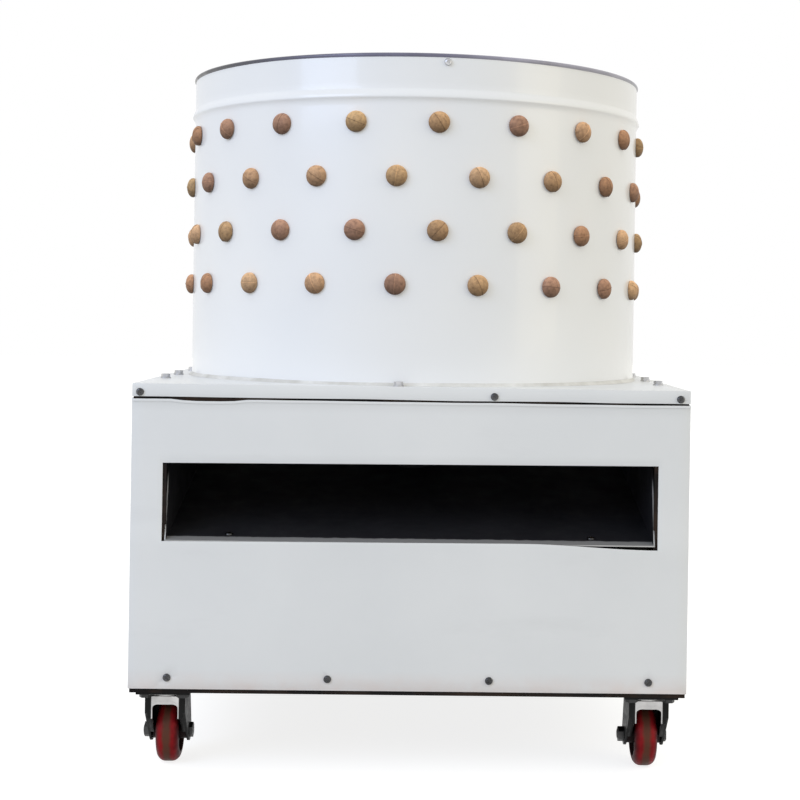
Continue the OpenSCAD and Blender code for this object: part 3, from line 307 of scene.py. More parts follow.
def base_paint():
    """Satin white, a little grey with handling, worn at its edges, pinkish near its foot, and near black on its inner
    faces as painted shade inside the box.
    """
    s = Shader("base_white", Coat_Weight=0.2, Coat_Roughness=0.2)
    clean = s.drift(4, 5, (0.715, 0.73, 0.745), (0.775, 0.785, 0.795))
    smear = s.span(s.noise(11, 7, (0.5, 1, 1.6)), 0.60, 0.75, 0.0, 0.22)
    handled = s.mix(smear, clean, (0.60, 0.60, 0.61))
    foot = s.math("MULTIPLY", s.span(s.parts(s.place)["Z"], *FOOT_BAND_Z), s.vary(40, 4, 0.15, 0.6))
    foot_banded = s.mix(foot, handled, (0.72, 0.60, 0.56))
    wear_and_painted_light = s.math("MULTIPLY", s.attribute("edge"), s.span(s.noise(90, 5), 0.35, 0.65, 0.1, 0.9))
    outside = s.mix(wear_and_painted_light, foot_banded, (0.22, 0.21, 0.21))
    # painted shade: the panels' inner faces near black
    s.give("Base Color", s.mix(s.attribute("inner"), outside, (0.03, 0.028, 0.027)))
    s.rough(0.34, 0.5, 9)
    s.bump(s.noise(420, 2), 0.08, 0.0004)
    return s.material


def rim_paint():
    """Dark blue paint, with painted shade at its two ends and a painted highlight along its right part, running
    across X.
    """
    s = Shader("rim_navy", Coat_Weight=0.3, Coat_Roughness=0.2)
    # painted light across the rim: near black at the left end as painted shade, paler to the right as a painted
    # highlight, darker again at the right end
    wear_and_painted_light = s.ramp(
        s.span(s.parts(s.place)["X"], *RIM_X),
        (0.04, (0.012, 0.012, 0.015)),
        (0.16, (0.05, 0.05, 0.07)),
        (0.35, (0.13, 0.125, 0.20)),
        (0.55, (0.14, 0.135, 0.20)),
        (0.68, (0.32, 0.31, 0.39)),
        (0.92, (0.36, 0.35, 0.42)),
        (0.99, (0.12, 0.12, 0.15)),
    )
    patchy = s.drift(30, 4, (0.8, 0.8, 0.8), (1.1, 1.1, 1.1))
    s.give("Base Color", s.mix(1.0, wear_and_painted_light, patchy, "MULTIPLY"))
    s.rough(0.25, 0.45, 60)
    s.bump(s.noise(300, 2), 0.1, 0.0004)
    return s.material


def finger_rubber():
    """Mottled rubber over the tone and the painted shade that each finger brings."""
    s = Shader("finger_rubber", Specular_IOR_Level=0.3)
    mottle = s.ramp(s.noise(260, 6), (0.28, (0.62, 0.60, 0.58)), (0.5, (1.0, 1.0, 1.0)), (0.75, (1.3, 1.28, 1.22)))
    s.give("Base Color", s.mix(1.0, s.attribute("tone_and_painted_shade", "Color"), mottle, "MULTIPLY"))
    s.rough(0.55, 0.8, 120)
    s.bump(s.noise(900, 4), 0.25, 0.0004)
    return s.material


def metal(name, dark, light, rough, grain=200, stretch=(1, 1, 1)):
    s = Shader(name, Metallic=1.0)
    s.give("Base Color", s.drift(35, 5, dark, light))
    s.rough(rough, rough + 0.2, grain, stretch)
    s.bump(s.noise(grain * 4, 2, stretch), 0.06, 0.0003)
    return s.material


def moulded(name, dark, light, rough, grain=500, strength=0.12):
    s = Shader(name)
    s.give("Base Color", s.drift(25, 5, dark, light))
    s.rough(rough, rough + 0.15, 50)
    s.bump(s.noise(grain, 3), strength, 0.0004)
    return s.material


def frame_primer():
    """Black primer that has gone brown in places."""
    s = Shader("frame_dark", Specular_IOR_Level=0.12)
    s.give("Base Color", s.ramp(s.noise(16, 6), (0.45, (0.006, 0.005, 0.005)), (0.62, (0.028, 0.017, 0.012))))
    s.rough(0.45, 0.75, 40)
    s.bump(s.noise(260, 4), 0.25, 0.0005)
    return s.material


def chute_paint():
    """Satin black sheet with bare cut edges at its front, where feathers have worn the floor's end grey."""
    s = Shader("chute_black", Specular_IOR_Level=0.08)
    facing = s.parts(s.add("ShaderNodeNewGeometry").outputs["Normal"])
    place = s.parts(s.place)
    front = s.math("MULTIPLY", s.span(facing["Y"], -0.6, -0.8), s.span(place["Y"], *CHUTE_Y))
    bare = s.math("MULTIPLY", front, s.span(place["Z"], *BARE_Z))
    black = s.drift(18, 5, (0.012, 0.012, 0.0145), (0.018, 0.018, 0.021))
    ragged = s.math("ADD", place["Y"], s.vary(70, 4, -RAGGED, RAGGED))
    wear_and_painted_light = s.math("MULTIPLY", s.span(facing["Z"], 0.7, 0.9), s.span(ragged, *WORN_Y))
    floor = s.mix(wear_and_painted_light, black, (0.22, 0.22, 0.225))
    s.give("Base Color", s.mix(bare, floor, (0.42, 0.42, 0.415)))
    s.give("Metallic", bare)
    s.rough(0.5, 0.7, 30)
    s.bump(s.noise(300, 3), 0.1, 0.0004)
    return s.material


def turned_aluminium():
    """Sheet aluminium with fine rings left by turning."""
    s = Shader("disc_aluminium", Metallic=1.0)
    flat = s.add("ShaderNodeMapping", {"Vector": s.place, "Scale": (1, 1, 0)}).outputs[0]
    reach = s.add("ShaderNodeVectorMath", {0: flat}, operation="LENGTH").outputs["Value"]
    rings = s.add("ShaderNodeTexNoise", {"W": reach, "Scale": 900.0, "Detail": 2.0}, noise_dimensions="1D")
    s.give("Base Color", s.drift(12, 5, (0.55, 0.55, 0.56), (0.74, 0.74, 0.75)))
    s.rough(0.3, 0.45, 25)
    s.bump(rings.outputs["Fac"], 0.1, 0.0002)
    return s.material


def caster_offset(s):
    """Distance from the middle plane of the nearest caster."""
    side = s.math("ABSOLUTE", s.parts(s.place)["X"])
    return s.math("ABSOLUTE", s.math("SUBTRACT", side, SWIVEL_X))


def wheel_polyurethane():
    """Red tread with the dirty strip that runs on the floor, shoulders darkened as painted shade, and a dark core."""
    s = Shader("wheel_red", Specular_IOR_Level=0.12)
    red = s.drift(60, 4, (0.19, 0.006, 0.009), (0.31, 0.011, 0.015))
    ragged = s.math("ADD", caster_offset(s), s.vary(90, 5, -RAGGED, RAGGED))
    dirty = s.mix(s.span(ragged, *STRIP_OFF, 0.85, 0.0), red, (0.085, 0.045, 0.026))
    # painted shade: the tread darkens towards its shoulders
    tyre = s.mix(s.span(ragged, *SHOULDER_OFF, 0.0, 0.9), dirty, (0.022, 0.003, 0.004))
    s.give("Base Color", s.mix(s.attribute("core"), tyre, (0.022, 0.012, 0.012)))
    s.rough(0.4, 0.6, 90)
    s.bump(s.noise(350, 4), 0.12, 0.0005)
    return s.material


def caster_plating():
    """Zinc on the fork fronts, and near black on the plates, the legs and what lies behind the fronts, where it is
    painted shade inside the fork.
    """
    s = Shader("caster_zinc", Specular_IOR_Level=0.12)
    zinc = s.drift(45, 5, (0.42, 0.415, 0.41), (0.62, 0.61, 0.605))
    place = s.parts(s.place)
    front = s.math("MULTIPLY", s.span(caster_offset(s), *PLATED_OFF), s.span(place["Z"], *PLATED_Z))
    front = s.math("MULTIPLY", front, s.span(s.math("ABSOLUTE", place["Y"]), *PLATED_Y))
    # painted shade: near black wherever the zinc front ends, which covers the shade behind the fork fronts
    s.give("Base Color", s.mix(front, (0.010, 0.010, 0.010), zinc))
    s.give("Metallic", front)
    s.rough(0.32, 0.55, 160)
    s.bump(s.noise(500, 3), 0.1, 0.0003)
    return s.material


def make_materials():
    return {
        "drum_white": drum_paint(),
        "rim_navy": rim_paint(),
        "sealant": moulded("sealant", (0.50, 0.49, 0.46), (0.78, 0.78, 0.77), 0.4, 220, 0.3),
        "finger_rubber": finger_rubber(),
        "base_white": base_paint(),
        "bright_fasteners": metal("bright_fasteners", (0.02, 0.02, 0.021), (0.12, 0.12, 0.123), 0.2),
        "frame_dark": frame_primer(),
        "zinc_fasteners": metal("zinc_fasteners", (0.42, 0.42, 0.43), (0.66, 0.66, 0.67), 0.32),
        "chute_black": chute_paint(),
        "cast_grey": metal("cast_grey", (0.12, 0.12, 0.125), (0.24, 0.24, 0.25), 0.45, 300),
        "bearing_steel": metal("bearing_steel", (0.50, 0.51, 0.53), (0.68, 0.69, 0.71), 0.2, 250, (1, 1, 8)),
        "black_rubber": moulded("black_rubber", (0.012, 0.012, 0.012), (0.03, 0.03, 0.03), 0.6),
        "motor_paint": moulded("motor_paint", (0.06, 0.11, 0.19), (0.09, 0.15, 0.25), 0.35),
        "winding_copper": metal("winding_copper", (0.28, 0.12, 0.05), (0.55, 0.27, 0.13), 0.35, 400),
        "dark_plastic": moulded("dark_plastic", (0.015, 0.015, 0.017), (0.035, 0.035, 0.038), 0.45),
        "disc_aluminium": turned_aluminium(),
        "switch_grey": moulded("switch_grey", (0.27, 0.28, 0.29), (0.34, 0.35, 0.36), 0.45),
        "button_green": moulded("button_green", (0.01, 0.19, 0.05), (0.02, 0.28, 0.08), 0.22, 300, 0.05),
        "button_red": moulded("button_red", (0.38, 0.012, 0.012), (0.52, 0.02, 0.02), 0.22, 300, 0.05),
        "caster_zinc": caster_plating(),
        "axle_dark": metal("axle_dark", (0.03, 0.03, 0.03), (0.09, 0.09, 0.09), 0.4),
        "wheel_red": wheel_polyurethane(),
    }


materials = make_materials()
slot_of = {part["node"]: part["material_slot"] for part in frame["record"]["subparts"]}
OTHER_FINISH = {"caster_bolts": "axle_dark", "rim_bolt": "zinc_fasteners", "cover_bolts": "zinc_fasteners"}
for name, node in nodes.items():
    node.data.materials.clear()
    node.data.materials.append(materials[OTHER_FINISH.get(name, slot_of[name])])


# Meshes

def add_piece(name, verts, faces, body, slot, stands_for):
    """A smooth mesh piece that rides on a body and stands for the named nodes."""
    mesh = bpy.data.meshes.new(name)
    mesh.from_pydata([tuple(v) for v in verts], [], [tuple(f) for f in faces])
    mesh.shade_smooth()
    return dress(name, mesh, body, slot, stands_for)


def dress(name, mesh, body, slot, stands_for):
    """A piece made of a mesh, with its finish, its body and the nodes that it stands for, if any."""
    mesh.materials.append(materials[slot])
    piece = bpy.data.objects.new(name, mesh)
    scene.collection.objects.link(piece)
    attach(piece, body)
    if stands_for:
        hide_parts(*stands_for)
    return piece


def smooth_by_angle(mesh, degrees):
    mesh.shade_smooth()
    mesh.set_sharp_from_angle(angle=math.radians(degrees))


def finish_work(name, work, degrees, body, slot, stands_for):
    """Turns finished mesh work into a piece, smooth up to an angle."""
    mesh = bpy.data.meshes.new(name)
    work.to_mesh(mesh)
    work.free()
    smooth_by_angle(mesh, degrees)
    dress(name, mesh, body, slot, stands_for)


def circle(count):
    """Even angles round a full turn."""
    return [2 * math.pi * i / count for i in range(count)]


def revolve(profile, angles):
    """Closed profile of (radius, height) turned round Z at the given angles, as vertices and faces."""
    count = len(profile)
    turns = len(angles)
    verts = [(r * math.cos(a), r * math.sin(a), z) for a in angles for r, z in profile]
    faces = []
    for i in range(turns):
        here, there = i * count, (i + 1) % turns * count
        for j in range(count):
            k = (j + 1) % count
            faces.append((here + j, there + j, there + k, here + k))
    return verts, faces


def sweep(work, rings):
    """Closed skin over rings of equally many vertices, with an end face at each end."""
    work.faces.new(rings[0])
    work.faces.new(rings[-1])
    for here, there in zip(rings, rings[1:]):
        for i in range(len(here)):
            j = (i + 1) % len(here)
            work.faces.new((here[i], here[j], there[j], there[i]))


def round_edges(work, edges, width, segments):
    """Rounds edges, and gives the faces that this makes."""
    return bmesh.ops.bevel(
        work, geom=edges, offset=width, offset_type="OFFSET", segments=segments, profile=0.5,
        affect="EDGES", clamp_overlap=True,
    )["faces"]


# Drum

def bead_offset(z):
    """How far the wall swells out at a height, by the bead rolled into it, which turns in sharply under its crest."""
    share = (z - BEAD_Z) / BEAD_H + 0.5
    if not 0 < share < 1:
        return 0.0
    if share < BEAD_CREST:
        return BEAD_OUT * (share / BEAD_CREST) ** BEAD_UNDER
    return BEAD_OUT * math.cos(math.pi / 2 * (share - BEAD_CREST) / (1 - BEAD_CREST)) ** BEAD_OVER


def drum_angles():
    """Even steps, closer together at the welded seam."""
    close = [SEAM_ANGLE + SEAM_STEP * i for i in range(-SEAM_STEPS, SEAM_STEPS + 1)]
    return sorted([a for a in circle(DRUM_STEPS) if abs(a - SEAM_ANGLE) > SEAM_CLEAR] + close)


def make_drum():
    low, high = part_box("drum")
    wall = [low.z + (high.z - low.z) * i / WALL_STEPS for i in range(WALL_STEPS + 1)]
    bead = [BEAD_Z + BEAD_H * (i / BEAD_STEPS - 0.5) for i in range(BEAD_STEPS + 1)]
    heights = sorted(wall + bead)
    heights = [z for i, z in enumerate(heights) if i == 0 or z - heights[i - 1] > LEAST_STEP]
    outside = [(DRUM_R + bead_offset(z), z) for z in heights]
    inside = [(r - DRUM_WALL, z) for r, z in reversed(outside)]
    verts, faces = revolve(outside + inside, drum_angles())
    shaped = []
    for x, y, z in verts:
        angle = math.atan2(y, x)
        sway = LONG_WAVE * math.sin(3 * angle + 0.7) + SHORT_WAVE * math.sin(7 * angle + 5 * z)
        away = math.degrees(abs(angle - SEAM_ANGLE)) / SEAM_DEGREES
        ripple = noise.noise(Vector((0.0, 0.0, z * 160)))
        weld = SEAM_H * math.exp(-away * away) * (0.75 + 0.5 * ripple)
        grow = 1 + (sway + weld) / DRUM_R
        shaped.append((x * grow, y * grow, z))
    drum = add_piece("drum_shell", shaped, faces, "base", "drum_white", ["drum"])
    smooth_by_angle(drum.data, 50)


def make_rim():
    """Rolled edge over the top of the drum's wall."""
    middle = DRUM_R - DRUM_WALL / 2
    profile = [
        (middle + RIM_W / 2 * math.cos(a), RIM_Z + RIM_H / 2 * math.sin(a)) for a in circle(RIM_SIDES)
    ]
    verts, faces = revolve(profile, circle(RIM_STEPS))
    add_piece("rim_roll", verts, faces, "base", "rim_navy", ["rim_ring"])


# Fingers

def head_point(angle):
    """Point of a head's dome at an angle from its crown, as (radius, height)."""
    return HEAD_R * math.sin(angle), HEAD_LIP + (HEAD_H - HEAD_LIP) * math.cos(angle)


def finger_profile(grip):
    """Half section of a finger from its head's crown down to its tip, as (radius, height)."""
    top = -grip - SHOULDER_H
    end_z = -grip - FINGER_LEN
    points = [(POLE_R, HEAD_H)]
    points += [head_point(math.pi / 2 * i / HEAD_STEPS) for i in range(1, HEAD_STEPS + 1)]
    points += [(HEAD_R, 0.0008)]
    points += [(HEAD_R - 0.0004, 0.0001), (NECK_R, 0.0), (NECK_R, -grip), (SHOULDER_R - 0.0003, -grip)]
    points += [(SHOULDER_R, -grip - 0.0005), (SHOULDER_R, -grip - 0.003), (NECK_R, top)]
    steps = FINGER_RIBS * 4
    for i in range(1, steps):
        share = i / steps
        rib = RIB_H * max(0.0, math.sin(2 * math.pi * share * FINGER_RIBS)) if share < RIBS_END else 0.0
        points.append((NECK_R + (TIP_R - NECK_R) * share + rib, top + (end_z - top) * share))
    points += [(TIP_R - 0.0008, end_z + 0.0006), (TIP_R - 0.0024, end_z), (POLE_R, end_z)]
    return points


def parting_ridge(turn):
    """Thin flash left by the mould, across the head's dome at an angle."""
    along = Vector((math.cos(turn), math.sin(turn), 0))
    across = Vector((-math.sin(turn), math.cos(turn), 0))
    verts, faces = [], []
    for i in range(RIDGE_STEPS + 1):
        angle = RIDGE_REACH * math.pi / 2 * (2 * i / RIDGE_STEPS - 1)
        reach, height = head_point(angle)
        foot = along * reach + Vector((0, 0, height))
        out = along * math.sin(angle) + Vector((0, 0, math.cos(angle)))
        verts += [
            foot - across * RIDGE_HALF - out * RIDGE_SINK,
            foot + out * RIDGE_H,
            foot + across * RIDGE_HALF - out * RIDGE_SINK,
        ]
        if i:
            b = 3 * (i - 1)
            faces += [(b, b + 1, b + 4, b + 3), (b + 1, b + 2, b + 5, b + 4), (b, b + 3, b + 5, b + 2)]
    last = 3 * RIDGE_STEPS
    faces += [(0, 2, 1), (last, last + 1, last + 2)]
    return [tuple(v) for v in verts], faces


def make_fingers(name, body, places, grip, stands_for, seed):
    """Moulded fingers, each of its own tone, its two mould halves a shade apart, with painted shade that makes each
    head paler towards its local +Y, the upper side on the drum, darker opposite, and the shank darker.
    """
    dice = random.Random(seed)
    body_verts, body_faces = revolve(finger_profile(grip), circle(FINGER_SIDES))
    verts, faces, tones_and_painted_shades = [], [], []
    for place in places:
        turn = dice.uniform(0, math.pi)
        tone = Vector(dice.choice((BROWN, TAN, MAUVE, OLIVE)))
        tone = tone.lerp(Vector(BROWN), dice.uniform(0.0, 0.5)) * dice.uniform(0.86, 1.12)
        across = Vector((-math.sin(turn), math.cos(turn), 0))
        lighter = dice.uniform(0.86, 1.0)
        # the ridge takes a painted shade or a painted highlight, picked at random
        parts = ((body_verts, body_faces, 1.0), (*parting_ridge(turn), dice.choice(RIDGE_PAINTED_LIGHT)))
        for part_verts, part_faces, shade in parts:
            start = len(verts)
            faces += [tuple(start + i for i in face) for face in part_faces]
            for v in part_verts:
                verts.append(place @ Vector(v))
                half = lighter if Vector(v).dot(across) > 0 else 1.0
                # painted shade: paler towards the head's local +Y, which is up on the drum, darker opposite, and the
                # shank darker
                painted_shade = 1.0 + HEAD_PAINTED_SHADE * v[1] / HEAD_R if v[2] > 0 else SHANK_SHADE
                tones_and_painted_shades += [*(tone * shade * half * painted_shade), 1.0]
    piece = add_piece(name, verts, faces, body, "finger_rubber", stands_for)
    piece.data.attributes.new("tone_and_painted_shade", "FLOAT_COLOR", "POINT").data.foreach_set("color", tones_and_painted_shades)
    smooth_by_angle(piece.data, 55)


def drum_places(rows):
    """Seats of the fingers in some of the drum's rows, every other row turned by half a step."""
    places = []
    for row in rows:
        first = ROW_ANGLE if (len(ROW_Z) - row) % 2 == 1 else ROW_ANGLE - 180 / ROW_COUNT
        for i in range(ROW_COUNT):
            turn = Matrix.Rotation(math.radians(first + 360 / ROW_COUNT * i), 4, "Z")
            out = Matrix.Translation((0, -DRUM_R - SEAT, ROW_Z[row])) @ Matrix.Rotation(math.pi / 2, 4, "X")
            places.append(turn @ out)
    return places


def disc_places():
    """Seats of the turntable's fingers, whose heads are under the disc."""
    places = []
    for reach, count in RINGS:
        for i in range(count):
            turn = Matrix.Rotation(2 * math.pi * i / count, 4, "Z")
            over = Matrix.Translation((reach, 0, DISC_Z - SEAT)) @ Matrix.Rotation(math.pi, 4, "X")
            places.append(turn @ over)
    return places


# Sheet metal

def joined_mesh(node):
    """A node's mesh with its triangles joined into whole faces."""
    work = bmesh.new()
    work.from_mesh(nodes[node].data)
    bmesh.ops.remove_doubles(work, verts=work.verts, dist=MERGE)
    bmesh.ops.dissolve_limit(work, angle_limit=FLAT_ANGLE, verts=work.verts, edges=work.edges)
    return work


def cut_across(work, axis, low, high, spacing):
    """Cuts a mesh into strips along an axis, so that it can bend."""
    normal = Vector((0, 0, 0))
    normal[axis] = 1
    steps = int((high - low) / spacing)
    for i in range(1, steps):
        geometry = work.verts[:] + work.edges[:] + work.faces[:]
        point = normal * (low + (high - low) * i / steps)
        bmesh.ops.bisect_plane(work, geom=geometry, dist=MERGE, plane_co=point, plane_no=normal)


def sheet_copy(name, node, across, spacing, bevel, sway, hem=None):
    """A node's sheet with softened edges, the slight waves of thin metal and its inner side marked."""
    work = joined_mesh(node)
    edge_layer = work.faces.layers.float.new("edge")
    inner_layer = work.faces.layers.float.new("inner")
    sharp = [e for e in work.edges if len(e.link_faces) == 2 and e.calc_face_angle(0) > SHARP_ANGLE]
    for face in round_edges(work, sharp, bevel, 2):
        face[edge_layer] = 1.0
    low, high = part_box(node)
    for axis in (X, Y, Z):
        if axis != across:
            cut_across(work, axis, low[axis], high[axis], spacing)
    for v in work.verts:
        flat = v.co.copy()
        flat[across] = 0
        wave = noise.noise(flat * 5 + Vector((3.1, 0, across))) + 0.5 * noise.noise(flat * 13)
        v.co[across] += sway * wave
        if hem is not None:
            hem(v.co)
    work.normal_update()
    side = 1 if low[across] + high[across] > 0 else -1
    for face in work.faces:
        # inner faces are marked for the painted shade inside the box
        if face.normal[across] * side < INWARD:
            face[inner_layer] = 1.0
    finish_work(name, work, 35, "base", slot_of[node], [node])


def box_copy(name, node, width):
    """A node's box with its outermost edges rounded and its holes left as they are."""
    work = joined_mesh(node)
    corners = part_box(node)

    def sides_met(edge):
        a, b = (v.co for v in edge.verts)
        return sum(abs(a[i] - c[i]) < NEAR and abs(b[i] - c[i]) < NEAR for i in (X, Y, Z) for c in corners)

    round_edges(work, [e for e in work.edges if sides_met(e) == 2], width, 3)
    finish_work(name, work, 35, "base", slot_of[node], [node])


def flange_edge(co):
    """Lets the front flange's lower edge hang unevenly over the panel."""
    if co.y < FLANGE_Y and co.z < FLANGE_Z:
        co.z -= FLANGE_HANG + FLANGE_WAVE * noise.noise(Vector((co.x * 9, 0, 0)))


def panel_edge(co):
    """Dips the front panel's hem where it has been pressed in, and bends its outlet's edges as cut by hand."""
    side = co.x / SLOT_HALF
    sill, lintel = (max(0.0, 1 - abs(co.z - edge) / SLOT_FADE) for edge in SLOT_Z)
    droop = min(max((side - DROOP_FROM) / (1 - DROOP_FROM), 0.0), 1.0)
    co.z += sill * (SILL_RISE + SILL_TILT * side - SILL_DROOP * droop * droop * (3 - 2 * droop))
    co.y -= sill * SILL_OUT
    co.z += lintel * (LINTEL_RISE + LINTEL_TILT * side)
    if co.z > HEM_Z:
        dip = math.exp(-(((co.x - DIP_X) / DIP_HALF) ** 6))
        co.z -= DIP_DEPTH * dip + HEM_WAVE * (1 + noise.noise(Vector((co.x * 14, 4, 0))))


# Casters

def wheel_section():
    """Closed section of a wheel with a crowned tread, a recessed web and a hub, as (radius, offset)."""
    half = [
        (BORE_R, -HUB_HALF), (HUB_R - 0.0006, -HUB_HALF), (HUB_R, -HUB_HALF + 0.0006), (HUB_R, -0.0105),
        (HUB_R + 0.0012, -WEB_HALF), (CORE_R - 0.0020, -WEB_HALF), (CORE_R - 0.0008, -0.0126),
        (CORE_R, -WHEEL_HALF),
    ]
    for i in range(CROWN_STEPS + 1):
        angle = math.pi / 2 * (i / CROWN_STEPS - 1)
        across = CROWN_FLAT - (WHEEL_HALF - CROWN_FLAT) * math.sin(angle)
        half.append((WHEEL_R - CROWN_ROUND * (1 - math.cos(angle)), -across))
    return half + [(r, -offset) for r, offset in reversed(half)]


def make_wheel(corner):
    """Wheel of one caster, with its core marked."""
    low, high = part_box("caster_wheel_" + corner)
    verts, faces = revolve(wheel_section(), circle(WHEEL_STEPS))
    core = [1.0 if math.hypot(v[0], v[1]) < CORE_R - 0.0003 else 0.0 for v in verts]
    place = Matrix.Translation((low + high) / 2) @ Matrix.Rotation(math.pi / 2, 4, "Y")
    verts = [place @ Vector(v) for v in verts]
    stands_for = ["caster_wheel_" + corner]
    piece = add_piece("tyre_" + corner, verts, faces, "wheel_" + corner, "wheel_red", stands_for)
    piece.data.attributes.new("core", "FLOAT", "POINT").data.foreach_set("value", core)
    smooth_by_angle(piece.data, 40)


def arch_height(x):
    """Height of the arch in a fork's front wall, at a distance from its middle."""
    past = max(0.0, abs(x) - (ARCH_HALF - ARCH_ROUND))
    return ARCH_TOP - ARCH_ROUND + math.sqrt(ARCH_ROUND ** 2 - past ** 2)


def arch_lip(work, place):
    """Lip rolled along the top of a fork's arch, which thins out towards its shoulders."""
    front, back = LIP_Y
    rings = []
    for i in range(LIP_STEPS + 1):
        x = LIP_REACH * ARCH_HALF * (2 * i / LIP_STEPS - 1)
        over = arch_height(x) + LIP_LAP
        under = arch_height(x) - LIP_H * (1 - (x / ARCH_HALF) ** 4)
        ring = ((x, front, under), (x, back, under), (x, back, over), (x, front, over))
        rings.append([work.verts.new(place(*point)) for point in ring])
    sweep(work, rings)


def leg_flanges(work, place):
    """Flanges pressed inwards along the front and back edges of a fork's legs."""
    for start, end, inward, reach in (
        (Vector((-0.0230, 0.0692)), Vector((0.0055, 0.0391)), Vector((0.725, 0.688)), 0.0165),
        (Vector((0.0240, 0.0864)), Vector((0.0364, 0.0449)), Vector((-0.963, -0.270)), 0.0145),
    ):
        outline = (start, end, end + inward * FLANGE_T, start + inward * FLANGE_T)
        for side in (-1, 1):
            ends = (side * reach, side * (LEG_IN + FLANGE_BITE))
            sweep(work, [[work.verts.new(place(x, p.x, p.y)) for p in outline] for x in ends])
    bmesh.ops.recalc_face_normals(work, faces=work.faces)
    round_edges(work, work.edges[:], FLANGE_ROUND, 2)


def make_fork_edges(corner):
    """Flanges and arch lip of one caster's fork, in the rest place of its swivel."""
    to_x = SWIVEL_X if corner.endswith("right") else -SWIVEL_X
    turned = -1 if corner.startswith("rear") else 1

    def place(x, y, z):
        return to_x + x, turned * (y - SWIVEL_Y), z

    work = bmesh.new()
    leg_flanges(work, place)
    arch_lip(work, place)
    bmesh.ops.recalc_face_normals(work, faces=work.faces)
    finish_work("fork_edges_" + corner, work, 40, "swivel_" + corner, "caster_zinc", ())


# Small softening of the other solids' edges

SOFT_EDGES = {
    "motor_terminal_box": 0.002, "motor_housing": 0.0008, "motor_fan_cover": 0.001,
    "spindle_housing": 0.001, "turntable_hub": 0.001, "large_pulley": 0.001, "motor_pulley": 0.0006,
    "caster_plates": 0.0006, "bearing_beams": 0.001, "turntable_disc": 0.0005,
}
SOFT_SLOTS = ("frame_dark", "zinc_fasteners", "bright_fasteners", "axle_dark")
SOFT_FORK = 0.0008
SOFT_REST = 0.0004


def edge_width(name):
    """How wide a node's edges are rounded, or nothing where they stay as they are."""
    if name.startswith("caster_fork"):
        return SOFT_FORK
    return SOFT_EDGES.get(name, SOFT_REST if slot_of[name] in SOFT_SLOTS else None)


def soften(node, width):
    """Rounds a node's hard edges a little, as pressed, cast or moulded parts have them."""
    piece = nodes[node]
    piece.data.shade_smooth()
    weld = piece.modifiers.new("weld", "WELD")
    weld.merge_threshold = MERGE
    bevel = piece.modifiers.new("bevel", "BEVEL")
    bevel.width = width
    bevel.segments = 2
    bevel.limit_method = "ANGLE"
    bevel.angle_limit = math.radians(35)
    bevel.use_clamp_overlap = True
    normals = piece.modifiers.new("normals", "WEIGHTED_NORMAL")
    normals.keep_sharp = False


# Studio

def add_camera():
    lens = bpy.data.cameras.new("camera")
    lens.sensor_width = SENSOR_MM
    lens.lens = FOCAL_PX / PHOTO_PX * lens.sensor_width
    lens.shift_x = 0.5 - CENTRE_PX[0] / PHOTO_PX
    lens.shift_y = CENTRE_PX[1] / PHOTO_PX - 0.5
    camera = bpy.data.objects.new("camera", lens)
    level = Matrix.Rotation(math.pi / 2, 4, "X") @ Matrix.Rotation(CAMERA_ROLL, 4, "Z")
    camera.matrix_world = Matrix.Translation(CAMERA_AT) @ Matrix.Rotation(-CAMERA_YAW, 4, "Z") @ level
    scene.collection.objects.link(camera)
    scene.camera = camera


def seen_directly(tree):
    """One where a ray comes from the camera, a reflection or glass, and zero where it only lights."""
    path = tree.nodes.new("ShaderNodeLightPath")
    total = path.outputs["Is Camera Ray"]
    for key in ("Is Glossy Ray", "Is Transmission Ray"):
        either = tree.nodes.new("ShaderNodeMath")
        either.operation = "MAXIMUM"
        tree.links.new(total, either.inputs[0])
        tree.links.new(path.outputs[key], either.inputs[1])
        total = either.outputs[0]
    return total


def add_world(ambient):
    """Soft light from all round, which shows as plain white."""
    world = bpy.data.worlds.new("studio")
    world.use_nodes = True
    scene.world = world
    tree = world.node_tree
    soft = tree.nodes["Background"]
    soft.inputs["Color"].default_value = (1.0, 0.99, 0.925, 1)
    soft.inputs["Strength"].default_value = ambient
    white = tree.nodes.new("ShaderNodeBackground")
    white.inputs["Color"].default_value = (1, 1, 1, 1)
    mix = tree.nodes.new("ShaderNodeMixShader")
    tree.links.new(seen_directly(tree), mix.inputs["Fac"])
    tree.links.new(soft.outputs[0], mix.inputs[1])
    tree.links.new(white.outputs[0], mix.inputs[2])
    tree.links.new(mix.outputs[0], tree.nodes["World Output"].inputs["Surface"])


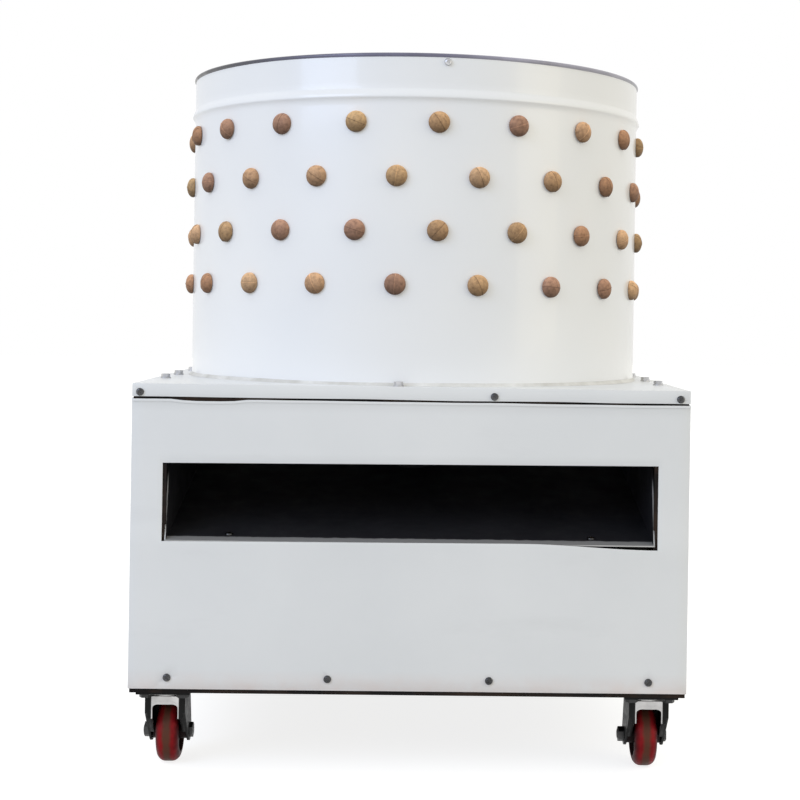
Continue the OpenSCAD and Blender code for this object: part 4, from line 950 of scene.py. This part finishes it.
def add_floor(half, glow):
    """Pale floor that shows white and keeps the object's shadow."""
    mesh = bpy.data.meshes.new("floor")
    corners = [(-half, -half, 0), (half, -half, 0), (half, half, 0), (-half, half, 0)]
    mesh.from_pydata(corners, [], [(0, 1, 2, 3)])
    floor = bpy.data.objects.new("floor", mesh)
    scene.collection.objects.link(floor)
    material = bpy.data.materials.new("floor")
    material.use_nodes = True
    tree = material.node_tree
    matt = tree.nodes["Principled BSDF"]
    matt.inputs["Base Color"].default_value = (0.42, 0.42, 0.42, 1)
    matt.inputs["Roughness"].default_value = 1.0
    matt.inputs["Specular IOR Level"].default_value = 0.0
    light = tree.nodes.new("ShaderNodeEmission")
    strength = tree.nodes.new("ShaderNodeMath")
    strength.operation = "MULTIPLY"
    strength.inputs[1].default_value = glow
    tree.links.new(seen_directly(tree), strength.inputs[0])
    tree.links.new(strength.outputs[0], light.inputs["Strength"])
    both = tree.nodes.new("ShaderNodeAddShader")
    tree.links.new(matt.outputs[0], both.inputs[0])
    tree.links.new(light.outputs[0], both.inputs[1])
    tree.links.new(both.outputs[0], tree.nodes["Material Output"].inputs["Surface"])
    mesh.materials.append(material)


def add_lamp(name, place, target, size, power, colour):
    lamp = bpy.data.lights.new(name, "AREA")
    lamp.shape = "RECTANGLE"
    lamp.size, lamp.size_y = size
    lamp.energy = power
    lamp.color = colour
    stand = bpy.data.objects.new(name, lamp)
    stand.location = place
    stand.rotation_euler = (Vector(target) - Vector(place)).to_track_quat("-Z", "Y").to_euler()
    scene.collection.objects.link(stand)


# The whole scene

add_camera()
add_world(ambient=0.94)
add_floor(half=15, glow=0.8)
add_lamp("key", (-2.2, -2.4, 2.0), (0, 0, 0.55), size=(1.8, 1.8), power=38, colour=(0.56, 0.69, 1.0))
add_lamp("fill", (2.8, -1.5, 1.3), (0, 0, 0.6), size=(1.4, 1.8), power=12, colour=(1.0, 0.87, 0.6))

make_drum()
make_rim()
make_fingers("fingers_upper", "base", drum_places((2, 3)), DRUM_GRIP, ["drum_fingers_upper"], seed=11)
make_fingers("fingers_lower", "base", drum_places((0, 1)), DRUM_GRIP, ["drum_fingers_lower"], seed=12)
make_fingers("fingers_turntable", "turntable", disc_places(), DISC_GRIP, ["turntable_fingers"], seed=13)

sheet_copy("cover_sheet", "top_cover", Z, spacing=0.02, bevel=0.0006, sway=0.0003, hem=flange_edge)
sheet_copy("front_sheet", "front_panel", Y, spacing=0.015, bevel=0.0003, sway=0.0005, hem=panel_edge)
sheet_copy("rear_sheet", "rear_panel", Y, spacing=0.03, bevel=0.0003, sway=0.0004)
sheet_copy("left_sheet", "left_panel", X, spacing=0.03, bevel=0.0003, sway=0.0004)
sheet_copy("right_sheet", "right_panel", X, spacing=0.03, bevel=0.0003, sway=0.0004)

box_copy("switch_box", "switch_housing", width=0.003)
for corner in ("front_left", "front_right", "rear_left", "rear_right"):
    make_wheel(corner)
    make_fork_edges(corner)

for name in nodes:
    width = edge_width(name)
    if width:
        soften(name, width)
